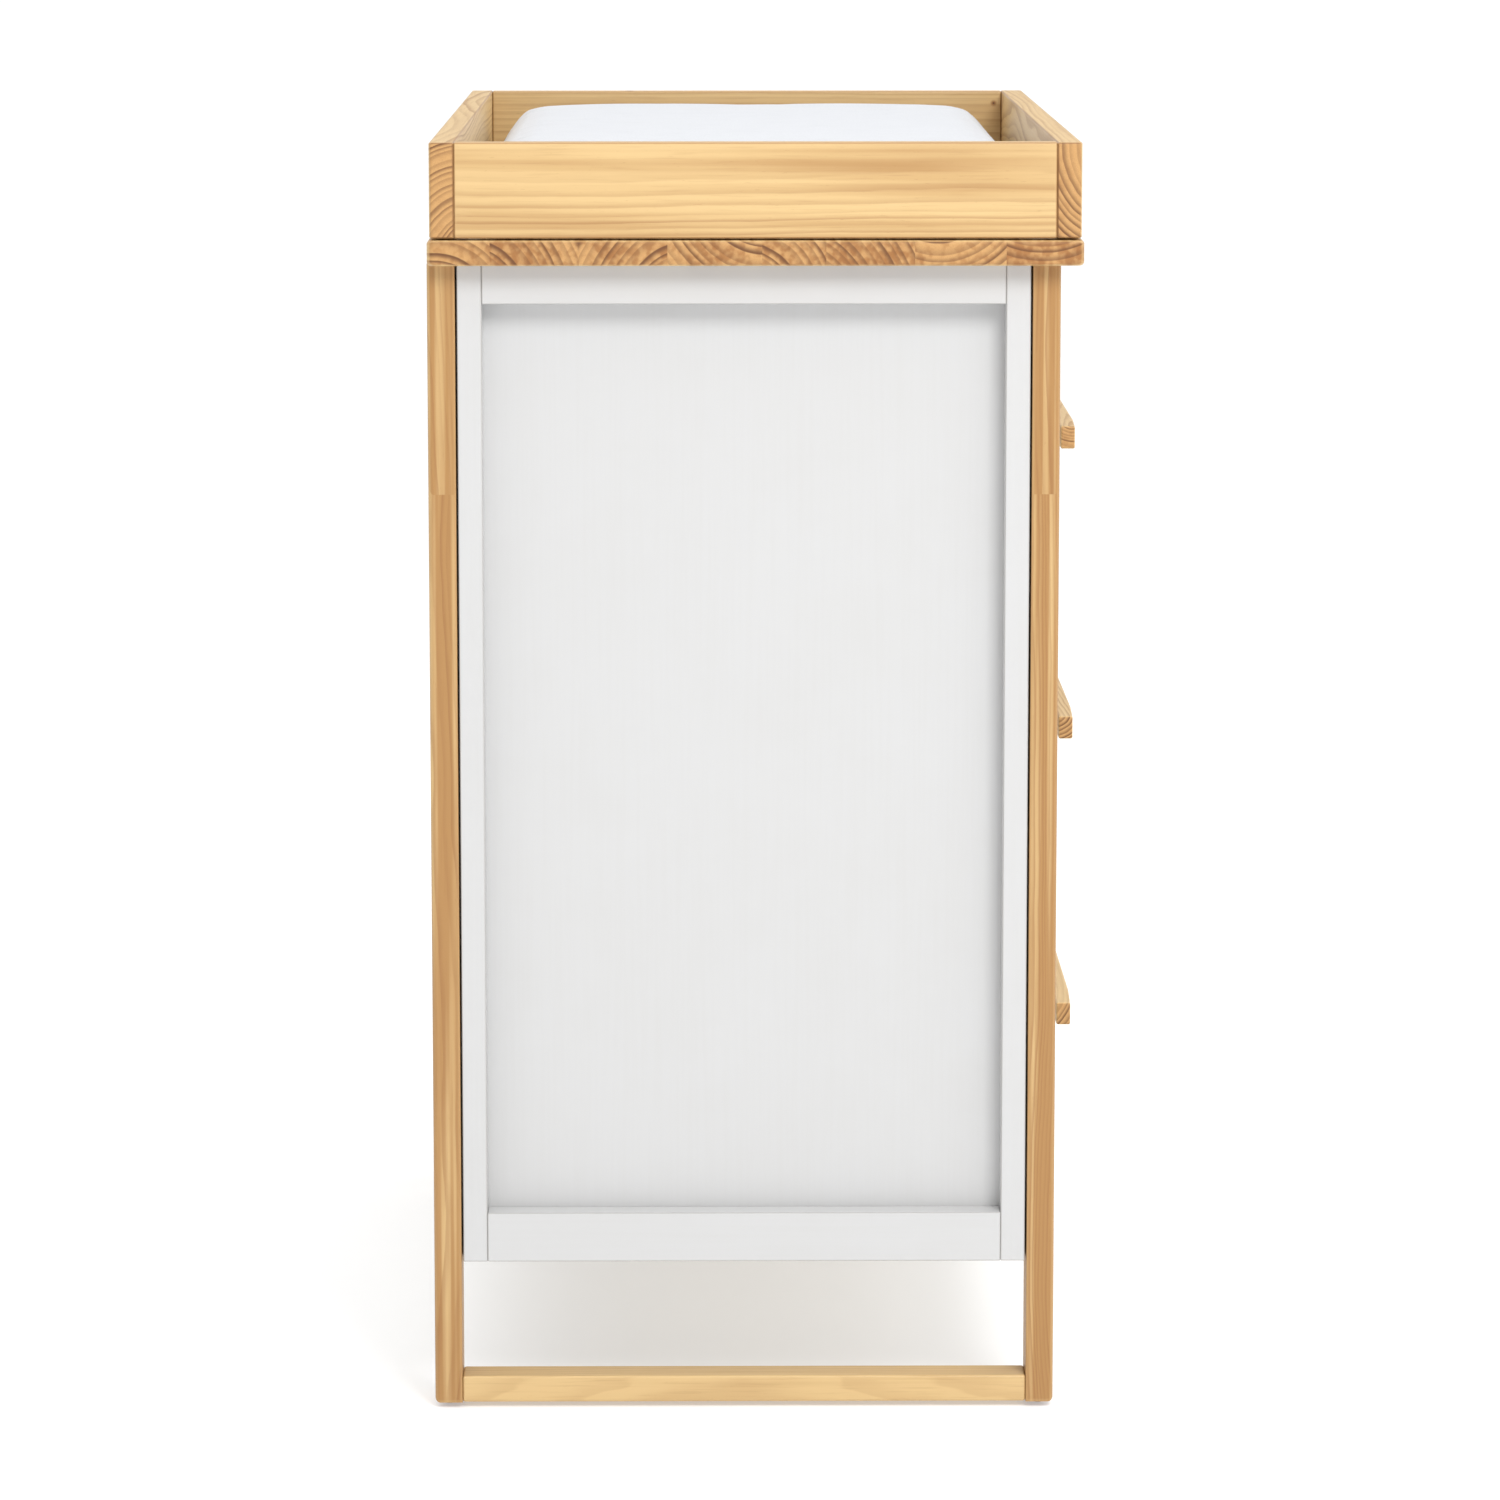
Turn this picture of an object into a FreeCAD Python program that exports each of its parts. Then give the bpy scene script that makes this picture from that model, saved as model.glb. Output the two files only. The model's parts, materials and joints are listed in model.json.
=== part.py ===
import FreeCAD, Part

import os

import Sketcher

# Changing table: a three-drawer dresser with a lift-off changing tray and a pad.
#
# Millimetres. X runs along the table, the drawers open towards -Y and +Z is up. The origin is on
# the floor, under the middle of the table's outline with the handles included.

LEVELS = ("lower", "middle", "upper")
LEFT = "left"
RIGHT = "right"
BALLS_IN_RACE = 3
TOUCH = 0.01

# Driving dimensions: alias, value, what it measures.
DIMENSIONS = (
    ("board_length", 880, "top board, left to right"),
    ("board_depth", 489, "top board, front to rear"),
    ("board_thick", 19, "top board"),
    ("board_corner", 6, "radius of the top board's corners in plan"),
    ("board_radius", 3, "radius of the top board's long edges"),
    ("side_overhang", 21, "top board past the posts at each end"),
    ("rear_inset", 1, "top board's rear edge inside the posts' rear faces"),
    ("front_overhang", 16, "top board's front edge past the posts' front faces"),
    ("case_top", 877, "underside of the top board above the floor"),
    ("case_bottom", 114.5, "underside of the side frames above the floor"),
    ("post_width", 40, "post, along the table"),
    ("post_thick", 21, "post, front to rear"),
    ("post_radius", 4, "posts' rounded outer edges"),
    ("shadow_gap", 1.4, "shadow gap between a post and a stile"),
    ("ease_radius", 1, "eased edges of the other boards"),
    ("glide_height", 4, "floor glide under a post"),
    ("glide_radius", 7, "floor glide, at its top"),
    ("glide_foot_radius", 5.5, "floor glide, where it meets the floor"),
    ("glide_pin_radius", 1.5, "pin of a floor glide"),
    ("glide_pin_length", 12, "pin of a floor glide"),
    ("pin_play", 0.1, "radial play round a pin, screw or cam"),
    ("foot_rail_height", 20.5, "foot rail"),
    ("foot_rail_width", 32, "foot rail, along the table"),
    ("foot_rail_setback", 1, "foot rail inside the posts' outer faces"),
    ("foot_rail_radius", 2, "foot rail's rounded edges"),
    ("side_setback", 1, "side frame inside the posts' outer faces"),
    ("side_frame_thick", 22, "stiles and side rails"),
    ("stile_width", 18.5, "stile, front to rear"),
    ("side_top_rail_height", 30, "side frame's top rail"),
    ("side_bottom_rail_height", 38, "side frame's bottom rail"),
    ("side_panel_thick", 6, "panel planted behind the side frame"),
    ("rail_thick", 18, "front and rear rails"),
    ("front_top_rail_height", 36, "rail above the drawers"),
    ("front_bottom_rail_height", 30.5, "rail below the drawers"),
    ("rear_rail_height", 38, "top and bottom rails at the rear"),
    ("divider_height", 24, "divider between two drawers"),
    ("divider_thick", 18, "divider between two drawers, front to rear"),
    ("back_thick", 4, "back panel"),
    ("back_groove_depth", 8, "grooves that hold the back panel"),
    ("strip_width", 18, "strip that joins the two back panels"),
    ("strip_thick", 8, "strip that joins the two back panels"),
    ("groove_play", 0.2, "play on each face of a panel in its groove"),
    ("edge_play", 0.5, "play between a panel's edge and its groove's floor"),
    ("restraint_hole_radius", 1.5, "pilot holes for a wall restraint"),
    ("restraint_spacing", 32, "between the wall restraint's pilot holes"),
    ("restraint_depth", 14, "the wall restraint's pilot holes"),
    ("cam_radius", 7.5, "cam lock in a rail's end"),
    ("cam_depth", 12, "cam lock in a rail's end"),
    ("cam_inset", 34, "cam lock's centre from the rail's end"),
    ("cam_slot_length", 11.2, "cam lock's screwdriver slot"),
    ("cam_slot_width", 1.8, "cam lock's screwdriver slot"),
    ("cam_slot_depth", 2, "cam lock's screwdriver slot"),
    ("reveal", 3, "gap above and below each drawer front"),
    ("side_reveal", 2, "gap beside each drawer front"),
    ("front_setback", 2, "drawer fronts inside the posts' front faces"),
    ("front_thick", 18, "drawer front"),
    ("front_radius", 1.5, "drawer front's eased edges"),
    ("box_lift", 14, "drawer box above its front's lower edge"),
    ("box_height", 150, "drawer box"),
    ("box_board_thick", 12, "drawer's sides and back"),
    ("box_bottom_thick", 4, "drawer's bottom"),
    ("box_bottom_lift", 10, "drawer's bottom above its sides' lower edges"),
    ("box_groove_depth", 6, "grooves that hold a drawer's bottom"),
    ("box_rear_gap", 32, "behind a closed drawer"),
    ("slide_space", 12.7, "beside a drawer, for its slide"),
    ("slide_lift", 60, "slide's middle above the drawer box's lower edge"),
    ("slide_end_gap", 49, "drawer box past the end of its slide"),
    ("slide_front_gap", 6, "slide's front end behind the drawer front"),
    ("slide_extension", 0.75, "travel as a share of the slide's length"),
    ("steel_thick", 1.2, "slide's steel"),
    ("channel_height", 35, "slide's cabinet channel"),
    ("channel_depth", 9.7, "slide's cabinet channel"),
    ("channel_lip", 2.2, "inward lips of the cabinet channel"),
    ("rail_height", 22, "slide's drawer rail"),
    ("rail_depth", 9, "slide's drawer rail"),
    ("ball_play", 0.3, "round a ball in its race and its cage"),
    ("cage_thick", 0.8, "ball cage"),
    ("cage_margin", 6, "how much shorter the cage is than the room left for it"),
    ("cleat_height", 60, "wooden cleat that carries a slide"),
    ("handle_length", 380, "handle bar"),
    ("handle_height", 18, "handle bar"),
    ("handle_thick", 13, "handle bar, front to rear"),
    ("handle_reach", 27, "handle's front face past the posts' front faces"),
    ("handle_taper_length", 58, "tapered end of a handle bar"),
    ("handle_taper", 1.8, "how much the bar thins over its tapered end"),
    ("handle_foot_inset", 36, "handle's foot from the bar's end"),
    ("handle_foot_length", 24, "handle's foot, along the bar"),
    ("handle_radius", 1.5, "handle's eased edges"),
    ("screw_radius", 2, "handle screw"),
    ("screw_head_radius", 4, "handle screw's head"),
    ("screw_head_height", 2.4, "handle screw's head"),
    ("screw_bite", 12, "handle screw's length in the foot"),
    ("screw_slot_length", 4.8, "handle screw's slot"),
    ("screw_slot_width", 0.8, "handle screw's slot"),
    ("tray_inset", 2, "tray inside the top board's edges"),
    ("tray_height", 71, "tray's boards"),
    ("tray_thick", 18.5, "tray's boards"),
    ("tray_radius", 1.5, "tray boards' eased edges"),
    ("tray_corner", 3, "tray's rounded outer corners"),
    ("grip_thick", 1.5, "anti-slip pads under the tray"),
    ("grip_length", 30, "anti-slip pads under the tray"),
    ("grip_width", 12, "anti-slip pads under the tray"),
    ("grip_inset", 60, "anti-slip pad's middle from the tray's end"),
    ("cushion_thick", 58, "changing pad"),
    ("cushion_end_gap", 13, "changing pad to the tray's end boards"),
    ("cushion_side_gap", 6, "changing pad to the tray's long boards"),
    ("cushion_seat_gap", 0.3, "changing pad above the top board"),
    ("cushion_corner", 38, "changing pad's corners in plan"),
    ("cushion_radius", 14, "changing pad's top edge"),
    ("cushion_foot_radius", 6, "changing pad's bottom edge"),
)

# Places and sizes that follow from the driving dimensions: alias, formula.
FOLLOWING = (
    ("half_length", "dims.board_length / 2 - dims.side_overhang"),
    ("frame_depth", "dims.board_depth + dims.rear_inset - dims.front_overhang"),
    ("rear_face", "(frame_depth + dims.handle_reach) / 2"),
    ("front_face", "rear_face - frame_depth"),
    ("post_inner", "half_length - dims.post_width"),
    ("post_length", "dims.case_top - dims.glide_height"),
    ("rear_inner", "rear_face - dims.post_thick"),
    ("front_inner", "front_face + dims.post_thick"),
    ("between_posts", "rear_inner - front_inner"),
    ("opening_width", "2 * post_inner"),
    ("frame_out", "half_length - dims.side_setback"),
    ("panel_out", "frame_out - dims.side_frame_thick"),
    ("panel_in", "panel_out - dims.side_panel_thick"),
    ("frame_front", "front_inner + dims.shadow_gap"),
    ("frame_rear", "rear_inner - dims.shadow_gap"),
    ("side_rail_length", "frame_rear - frame_front - 2 * dims.stile_width"),
    ("side_height", "dims.case_top - dims.case_bottom"),
    ("board_top", "dims.case_top + dims.board_thick"),
    ("board_rear", "rear_face - dims.rear_inset"),
    ("board_front", "board_rear - dims.board_depth"),
    ("back_front", "rear_inner + (dims.rail_thick - dims.back_thick) / 2"),
    ("back_slot", "dims.back_thick + 2 * dims.groove_play"),
    ("back_low", "dims.case_bottom + dims.rear_rail_height - dims.back_groove_depth"),
    ("back_high", "dims.case_top - dims.rear_rail_height + dims.back_groove_depth"),
    ("strip_web", "dims.strip_width / 2 - dims.back_groove_depth"),
    ("fronts_room", "side_height - dims.front_top_rail_height - dims.front_bottom_rail_height"),
    ("front_height", f"(fronts_room - {len(LEVELS) + 1} * dims.reveal) / {len(LEVELS)}"),
    ("drawer_rise", "front_height + dims.reveal"),
    ("first_front", "dims.case_bottom + dims.front_bottom_rail_height + dims.reveal"),
    ("front_plane", "front_face + dims.front_setback"),
    ("front_back", "front_plane + dims.front_thick"),
    ("front_half", "post_inner - dims.side_reveal"),
    ("box_half", "post_inner - dims.slide_space"),
    ("box_inner", "box_half - dims.box_board_thick"),
    ("box_length", "rear_inner - dims.box_rear_gap - front_back"),
    ("box_slot", "dims.box_bottom_thick + 2 * dims.groove_play"),
    ("slide_length", "box_length - dims.slide_end_gap"),
    ("slide_front", "front_back + dims.slide_front_gap"),
    ("slide_rise", "dims.box_lift + dims.slide_lift"),
    ("race_gap", "(dims.channel_height - dims.rail_height) / 2 - dims.steel_thick"),
    ("ball_radius", "race_gap / 2 - dims.ball_play"),
    ("ball_rise", "(dims.rail_height + race_gap) / 2"),
    ("cage_web", "dims.steel_thick + dims.ball_play"),
    ("ball_out", "cage_web + dims.cage_thick + dims.ball_play + ball_radius"),
    ("cage_depth", "ball_out - cage_web + ball_radius"),
    ("cage_length", "slide_length * (1 - dims.slide_extension) - dims.cage_margin"),
    ("cage_front", "slide_front + (slide_length - cage_length) / 2"),
    ("ball_spacing", f"cage_length / {BALLS_IN_RACE}"),
    ("handle_stand", "dims.handle_reach + dims.front_setback"),
    ("handle_gap", "handle_stand - dims.handle_thick"),
    ("screw_offset", "dims.handle_length / 2 - dims.handle_foot_inset - dims.handle_foot_length / 2"),
    ("tray_half", "dims.board_length / 2 - dims.tray_inset"),
    ("tray_front", "board_front + dims.tray_inset"),
    ("tray_rear", "board_rear - dims.tray_inset"),
    ("tray_floor", "board_top + dims.grip_thick"),
    ("tray_inner_half", "tray_half - dims.tray_thick"),
    ("tray_inner_width", "tray_rear - tray_front - 2 * dims.tray_thick"),
)

doc = FreeCAD.newDocument("changing_table")
nodes = []


def fill_sheet(name, rows, formula):
    """Write one row per value: what it is, its value or formula, and its alias."""
    sheet = doc.addObject("Spreadsheet::Sheet", name)
    for number, (alias, content, note) in enumerate(rows, start=1):
        sheet.set(f"A{number}", note)
        sheet.set(f"B{number}", f"={content}" if formula else str(content))
        sheet.setAlias(f"B{number}", alias)
    doc.recompute()
    return sheet


dims = fill_sheet("dims", DIMENSIONS, formula=False)
places = fill_sheet("places", [(alias, text, alias) for alias, text in FOLLOWING], formula=True)


# ---------------------------------------------------------------- sketches and features

def value(formula):
    """What a formula comes to now, which draws a sketch at its size before it is bound."""
    return float(dims.evalExpression(formula))


def sketch_on(body, role, offset="0"):
    """A sketch on one of the body's own origin planes, moved along that plane's normal."""
    plane = next(item for item in body.Origin.OriginFeatures if item.Role == role)
    sketch = body.newObject("Sketcher::SketchObject", body.Name + "_sketch")
    sketch.AttachmentSupport = [(plane, "")]
    sketch.MapMode = "FlatFace"
    sketch.setExpression("AttachmentOffset.Base.z", offset)
    return sketch


def bound(sketch, kind, places_between, formula):
    """A distance in a sketch, tied to its formula."""
    index = sketch.addConstraint(Sketcher.Constraint(kind, *places_between, value(formula)))
    sketch.setExpression(f"Constraints[{index}]", formula)


def outline(sketch, corners):
    """A closed outline through corners, each given by two formulas."""
    points = [FreeCAD.Vector(value(across), value(up), 0) for across, up in corners]
    count = len(points)
    first = sketch.GeometryCount
    for number in range(count):
        sketch.addGeometry(Part.LineSegment(points[number], points[(number + 1) % count]), False)
    for number in range(count):
        following = first + (number + 1) % count
        sketch.addConstraint(Sketcher.Constraint("Coincident", first + number, 2, following, 1))
    for number, (across, up) in enumerate(corners):
        bound(sketch, "DistanceX", (-1, 1, first + number, 1), across)
        bound(sketch, "DistanceY", (-1, 1, first + number, 1), up)


def rectangle(sketch, left, low, width, height):
    """A rectangle from its lower left corner, its width and its height."""
    first = sketch.GeometryCount
    start = FreeCAD.Vector(value(left), value(low), 0)
    across = FreeCAD.Vector(value(width), 0, 0)
    up = FreeCAD.Vector(0, value(height), 0)
    corners = (start, start + across, start + across + up, start + up)
    for number in range(4):
        sketch.addGeometry(Part.LineSegment(corners[number], corners[(number + 1) % 4]), False)
    for number in range(4):
        following = first + (number + 1) % 4
        sketch.addConstraint(Sketcher.Constraint("Coincident", first + number, 2, following, 1))
        level = "Horizontal" if number % 2 == 0 else "Vertical"
        sketch.addConstraint(Sketcher.Constraint(level, first + number))
    bound(sketch, "DistanceX", (-1, 1, first, 1), left)
    bound(sketch, "DistanceY", (-1, 1, first, 1), low)
    bound(sketch, "DistanceX", (first, 1, first, 2), width)
    bound(sketch, "DistanceY", (first + 1, 1, first + 1, 2), height)


def circle(sketch, across, up, radius):
    """A circle from its centre and radius."""
    centre = FreeCAD.Vector(value(across), value(up), 0)
    shape = Part.Circle(centre, FreeCAD.Vector(0, 0, 1), value(radius))
    index = sketch.addGeometry(shape, False)
    bound(sketch, "DistanceX", (-1, 1, index, 3), across)
    bound(sketch, "DistanceY", (-1, 1, index, 3), up)
    bound(sketch, "Radius", (index,), radius)


def pad(body, sketch, length):
    """Raise a sketch along its normal."""
    feature = body.newObject("PartDesign::Pad", body.Name + "_pad")
    feature.Profile = sketch
    feature.setExpression("Length", length)
    doc.recompute()


def pocket(body, sketch, depth, along_normal):
    """Cut a sketch into the body, along its plane's normal or against it."""
    before = body.Shape.Volume
    feature = body.newObject("PartDesign::Pocket", body.Name + "_pocket")
    feature.Profile = sketch
    feature.setExpression("Length", depth)
    feature.Reversed = along_normal
    doc.recompute()
    if body.Shape.Volume > before - TOUCH:
        raise RuntimeError(f"{feature.Name} cuts nothing")


def edges_along(shape, axis, **sides):
    """Names of the straight edges along an axis that lie on the given sides, low or high."""
    box = shape.BoundBox
    limits = {
        "x": {"low": box.XMin, "high": box.XMax},
        "y": {"low": box.YMin, "high": box.YMax},
        "z": {"low": box.ZMin, "high": box.ZMax},
    }
    names = []
    for number, edge in enumerate(shape.Edges, start=1):
        direction = edge.tangentAt(edge.FirstParameter)
        straight = edge.Curve.TypeId == "Part::GeomLine"
        if not straight or abs(getattr(direction, axis)) < 1 - TOUCH:
            continue
        middle = edge.CenterOfMass
        if all(abs(getattr(middle, side) - limits[side][end]) < TOUCH for side, end in sides.items()):
            names.append(f"Edge{number}")
    return names


def edges_on_level(shape, level):
    """Names of all the edges that lie flat at a height."""
    names = []
    for number, edge in enumerate(shape.Edges, start=1):
        box = edge.BoundBox
        if abs(box.ZMin - level) < TOUCH and abs(box.ZMax - level) < TOUCH:
            names.append(f"Edge{number}")
    return names


def round_edges(body, radius, names):
    """Round the named edges of the body's last feature."""
    base = body.Tip
    fillet = body.newObject("PartDesign::Fillet", body.Name + "_fillet")
    fillet.Base = (base, names)
    fillet.setExpression("Radius", radius)
    doc.recompute()


def local_shape(body):
    """The shape of the body's last feature, in the body's own frame."""
    return body.Tip.Shape


def place(thing, across, back, up):
    """Tie an object's place to three formulas."""
    thing.setExpression("Placement.Base.x", across)
    thing.setExpression("Placement.Base.y", back)
    thing.setExpression("Placement.Base.z", up)


def board(name, size, corner, radius=None):
    """A board from its size along X, Y and Z and its low corner, with all its edges eased."""
    body = doc.addObject("PartDesign::Body", name)
    sketch = sketch_on(body, "XY_Plane")
    rectangle(sketch, "0", "0", size[0], size[1])
    pad(body, sketch, size[2])
    place(body, *corner)
    if radius:
        shape = local_shape(body)
        names = [edge_name for axis in "xyz" for edge_name in edges_along(shape, axis)]
        round_edges(body, radius, names)
    return body


def on_side(side, low, width):
    """Low X of a piece that stands at low on the left of the table, or at its mirror image."""
    return low if side == LEFT else f"-({low}) - ({width})"


# ---------------------------------------------------------------- solids from primitives

def block(name, size, corner):
    """A plain block from its size and its low corner."""
    solid = doc.addObject("Part::Box", name)
    solid.setExpression("Length", size[0])
    solid.setExpression("Width", size[1])
    solid.setExpression("Height", size[2])
    place(solid, *corner)
    return solid


def rod(name, radius, length, base, axis="z"):
    """A round rod from the middle of its base along Y or Z."""
    solid = doc.addObject("Part::Cylinder", name)
    solid.setExpression("Radius", radius)
    solid.setExpression("Height", length)
    if axis == "y":
        solid.Placement.Rotation = FreeCAD.Rotation(FreeCAD.Vector(1, 0, 0), -90)
    place(solid, *base)
    return solid


def fuse(name, solids):
    """Several solids as one."""
    joined = doc.addObject("Part::MultiFuse", name)
    joined.Shapes = solids
    return joined


def cut(name, base, tools):
    """A solid with others cut from it."""
    result = doc.addObject("Part::Cut", name)
    result.Base = base
    result.Tool = tools[0] if len(tools) == 1 else fuse(name + "_tools", tools)
    return result


def mirror(name, source):
    """The mirror image of an object on the table's other half."""
    image = doc.addObject("Part::Mirroring", name)
    image.Source = source
    image.Base = FreeCAD.Vector(0, 0, 0)
    image.Normal = FreeCAD.Vector(1, 0, 0)
    return image


def both_sides(name, piece):
    """A piece on the left half of the table and its mirror image."""
    return [piece, mirror(name + "_image", piece)]


def node(label, thing):
    """Keep an object as a sub-part under its own label."""
    thing.Label = label
    nodes.append(thing)
    return thing


def group(label, pieces):
    """Keep like pieces as one sub-part of separate solids."""
    joined = doc.addObject("Part::Compound", label)
    joined.Links = pieces
    return node(label, joined)


# ---------------------------------------------------------------- posts, feet and top

def make_post(side, front):
    """A post: rounded on its outer face, with a hole for its glide and the back panel's groove."""
    name = f"post_{'front' if front else 'rear'}_{side}"
    across = on_side(side, "-places.half_length", "dims.post_width")
    back = "places.front_face" if front else "places.rear_inner"
    body = board(name, ("dims.post_width", "dims.post_thick", "places.post_length"),
                 (across, back, "dims.glide_height"))
    outer, inner = ("low", "high") if front else ("high", "low")
    shape = local_shape(body)
    round_edges(body, "dims.post_radius",
                edges_along(shape, "z", y=outer) + edges_along(shape, "x", y=outer, z="low"))
    round_edges(body, "dims.ease_radius", edges_along(local_shape(body), "z", y=inner))
    hole = sketch_on(body, "XY_Plane")
    circle(hole, "dims.post_width / 2", "dims.post_thick / 2", "dims.glide_pin_radius + dims.pin_play")
    pocket(body, hole, "dims.glide_pin_length + dims.pin_play", along_normal=True)
    if not front:
        face = "dims.post_width" if side == LEFT else "0"
        groove = sketch_on(body, "YZ_Plane", face)
        rectangle(groove, "places.back_front - places.rear_inner - dims.groove_play",
                  "places.back_low - dims.glide_height",
                  "places.back_slot", "places.back_high - places.back_low")
        pocket(body, groove, "dims.back_groove_depth", along_normal=side == RIGHT)
    node(name, body)


def make_foot_rail(side):
    """A foot rail between the front and rear posts of one end."""
    low = "-places.half_length + dims.foot_rail_setback"
    body = board(f"foot_rail_{side}",
                 ("dims.foot_rail_width", "places.between_posts", "dims.foot_rail_height"),
                 (on_side(side, low, "dims.foot_rail_width"), "places.front_inner", "dims.glide_height"),
                 "dims.foot_rail_radius")
    node(f"foot_rail_{side}", body)


def make_glides():
    """A dark glide under each post: a shallow foot with a pin driven into the post."""
    glides = []
    for back in ("places.front_face + dims.post_thick / 2", "places.rear_face - dims.post_thick / 2"):
        across = "-places.half_length + dims.post_width / 2"
        foot = doc.addObject("Part::Cone", "glide_foot")
        foot.setExpression("Radius1", "dims.glide_foot_radius")
        foot.setExpression("Radius2", "dims.glide_radius")
        foot.setExpression("Height", "dims.glide_height")
        place(foot, across, back, "0")
        pin = rod("glide_pin", "dims.glide_pin_radius", "dims.glide_pin_length",
                  (across, back, "dims.glide_height"))
        glides += both_sides("glide", fuse("glide", [foot, pin]))
    group("floor_glides", glides)


def make_top_board():
    """The top board, with rounded corners and edges."""
    body = board("top_board", ("dims.board_length", "dims.board_depth", "dims.board_thick"),
                 ("-dims.board_length / 2", "places.board_front", "dims.case_top"))
    round_edges(body, "dims.board_corner", edges_along(local_shape(body), "z"))
    shape = local_shape(body)
    round_edges(body, "dims.board_radius",
                edges_on_level(shape, 0) + edges_on_level(shape, value("dims.board_thick")))
    node("top_board", body)


# ---------------------------------------------------------------- side frames

def make_side(side):
    """One end of the case: two stiles, two rails and the panel planted behind them."""
    frame_low = on_side(side, "-places.frame_out", "dims.side_frame_thick")
    for end, back in (("front", "places.frame_front"),
                      ("rear", "places.frame_rear - dims.stile_width")):
        name = f"stile_{end}_{side}"
        node(name, board(name, ("dims.side_frame_thick", "dims.stile_width", "places.side_height"),
                         (frame_low, back, "dims.case_bottom"), "dims.ease_radius"))
    rails = (("top", "dims.side_top_rail_height", "dims.case_top - dims.side_top_rail_height"),
             ("bottom", "dims.side_bottom_rail_height", "dims.case_bottom"))
    for level, height, up in rails:
        name = f"side_{level}_rail_{side}"
        node(name, board(name, ("dims.side_frame_thick", "places.side_rail_length", height),
                         (frame_low, "places.frame_front + dims.stile_width", up),
                         "dims.ease_radius"))
    name = f"side_panel_{side}"
    panel_low = on_side(side, "-places.panel_out", "dims.side_panel_thick")
    node(name, board(name, ("dims.side_panel_thick", "places.between_posts", "places.side_height"),
                     (panel_low, "places.front_inner", "dims.case_bottom")))


# ---------------------------------------------------------------- front, dividers and back

def cut_cam_holes(body, height, inner_face, along_normal):
    """Holes for the cam locks, in a rail's inner face near its two ends."""
    sketch = sketch_on(body, "XZ_Plane", f"-({inner_face})")
    for across in ("dims.cam_inset", "places.opening_width - dims.cam_inset"):
        circle(sketch, across, f"{height} / 2", "dims.cam_radius + dims.pin_play")
    pocket(body, sketch, "dims.cam_depth + dims.pin_play", along_normal)


def make_front_rails():
    """The rails above and below the drawers."""
    rails = (("front_top_rail", "dims.front_top_rail_height",
              "dims.case_top - dims.front_top_rail_height"),
             ("front_bottom_rail", "dims.front_bottom_rail_height", "dims.case_bottom"))
    for name, height, up in rails:
        body = board(name, ("places.opening_width", "dims.rail_thick", height),
                     ("-places.post_inner", "places.front_plane", up), "dims.ease_radius")
        cut_cam_holes(body, height, "dims.rail_thick", along_normal=True)
        node(name, body)


def make_rear_rails():
    """The rails that hold the back panels in their grooves; the top one takes a wall restraint."""
    rails = (("rear_top_rail", "dims.case_top - dims.rear_rail_height", "0", True),
             ("rear_bottom_rail", "dims.case_bottom", "dims.rear_rail_height", False))
    for name, up, grooved_face, upwards in rails:
        body = board(name, ("places.opening_width", "dims.rail_thick", "dims.rear_rail_height"),
                     ("-places.post_inner", "places.rear_inner", up), "dims.ease_radius")
        groove = sketch_on(body, "XY_Plane", grooved_face)
        rectangle(groove, "0", "places.back_front - places.rear_inner - dims.groove_play",
                  "places.opening_width", "places.back_slot")
        pocket(body, groove, "dims.back_groove_depth", along_normal=upwards)
        cut_cam_holes(body, "dims.rear_rail_height", "0", along_normal=False)
        if upwards:
            holes = sketch_on(body, "XZ_Plane", "-dims.rail_thick")
            for offset in ("- dims.restraint_spacing / 2", "+ dims.restraint_spacing / 2"):
                circle(holes, f"places.opening_width / 2 {offset}", "dims.rear_rail_height / 2",
                       "dims.restraint_hole_radius")
            pocket(body, holes, "dims.restraint_depth", along_normal=True)
        node(name, body)


def make_cam_locks():
    """Cam locks with a screwdriver slot, two in each of the four rails."""
    depth = "dims.cam_depth"
    front = f"places.front_plane + dims.rail_thick - {depth}"
    rear = "places.rear_inner"
    front_slot = "places.front_plane + dims.rail_thick - dims.cam_slot_depth"
    seats = (
        (front, front_slot, "dims.case_top - dims.front_top_rail_height / 2"),
        (front, front_slot, "dims.case_bottom + dims.front_bottom_rail_height / 2"),
        (rear, rear, "dims.case_top - dims.rear_rail_height / 2"),
        (rear, rear, "dims.case_bottom + dims.rear_rail_height / 2"),
    )
    across = "-places.post_inner + dims.cam_inset"
    cams = []
    for back, slot_back, up in seats:
        barrel = rod("cam_barrel", "dims.cam_radius", depth, (across, back, up), axis="y")
        slot = block("cam_slot", ("dims.cam_slot_length", "dims.cam_slot_depth", "dims.cam_slot_width"),
                     (f"{across} - dims.cam_slot_length / 2", slot_back,
                      f"{up} - dims.cam_slot_width / 2"))
        cams += both_sides("cam", cut("cam", barrel, [slot]))
    group("cam_locks", cams)


def make_dividers():
    """The rails behind the gaps between the drawer fronts, from side panel to side panel."""
    dividers = []
    for count in range(1, len(LEVELS)):
        gap_middle = f"places.first_front + {count} * places.drawer_rise - dims.reveal / 2"
        dividers.append(block("divider",
                              ("2 * places.panel_in", "dims.divider_thick", "dims.divider_height"),
                              ("-places.panel_in", "places.front_inner",
                               f"{gap_middle} - dims.divider_height / 2")))
    group("drawer_dividers", dividers)


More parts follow.
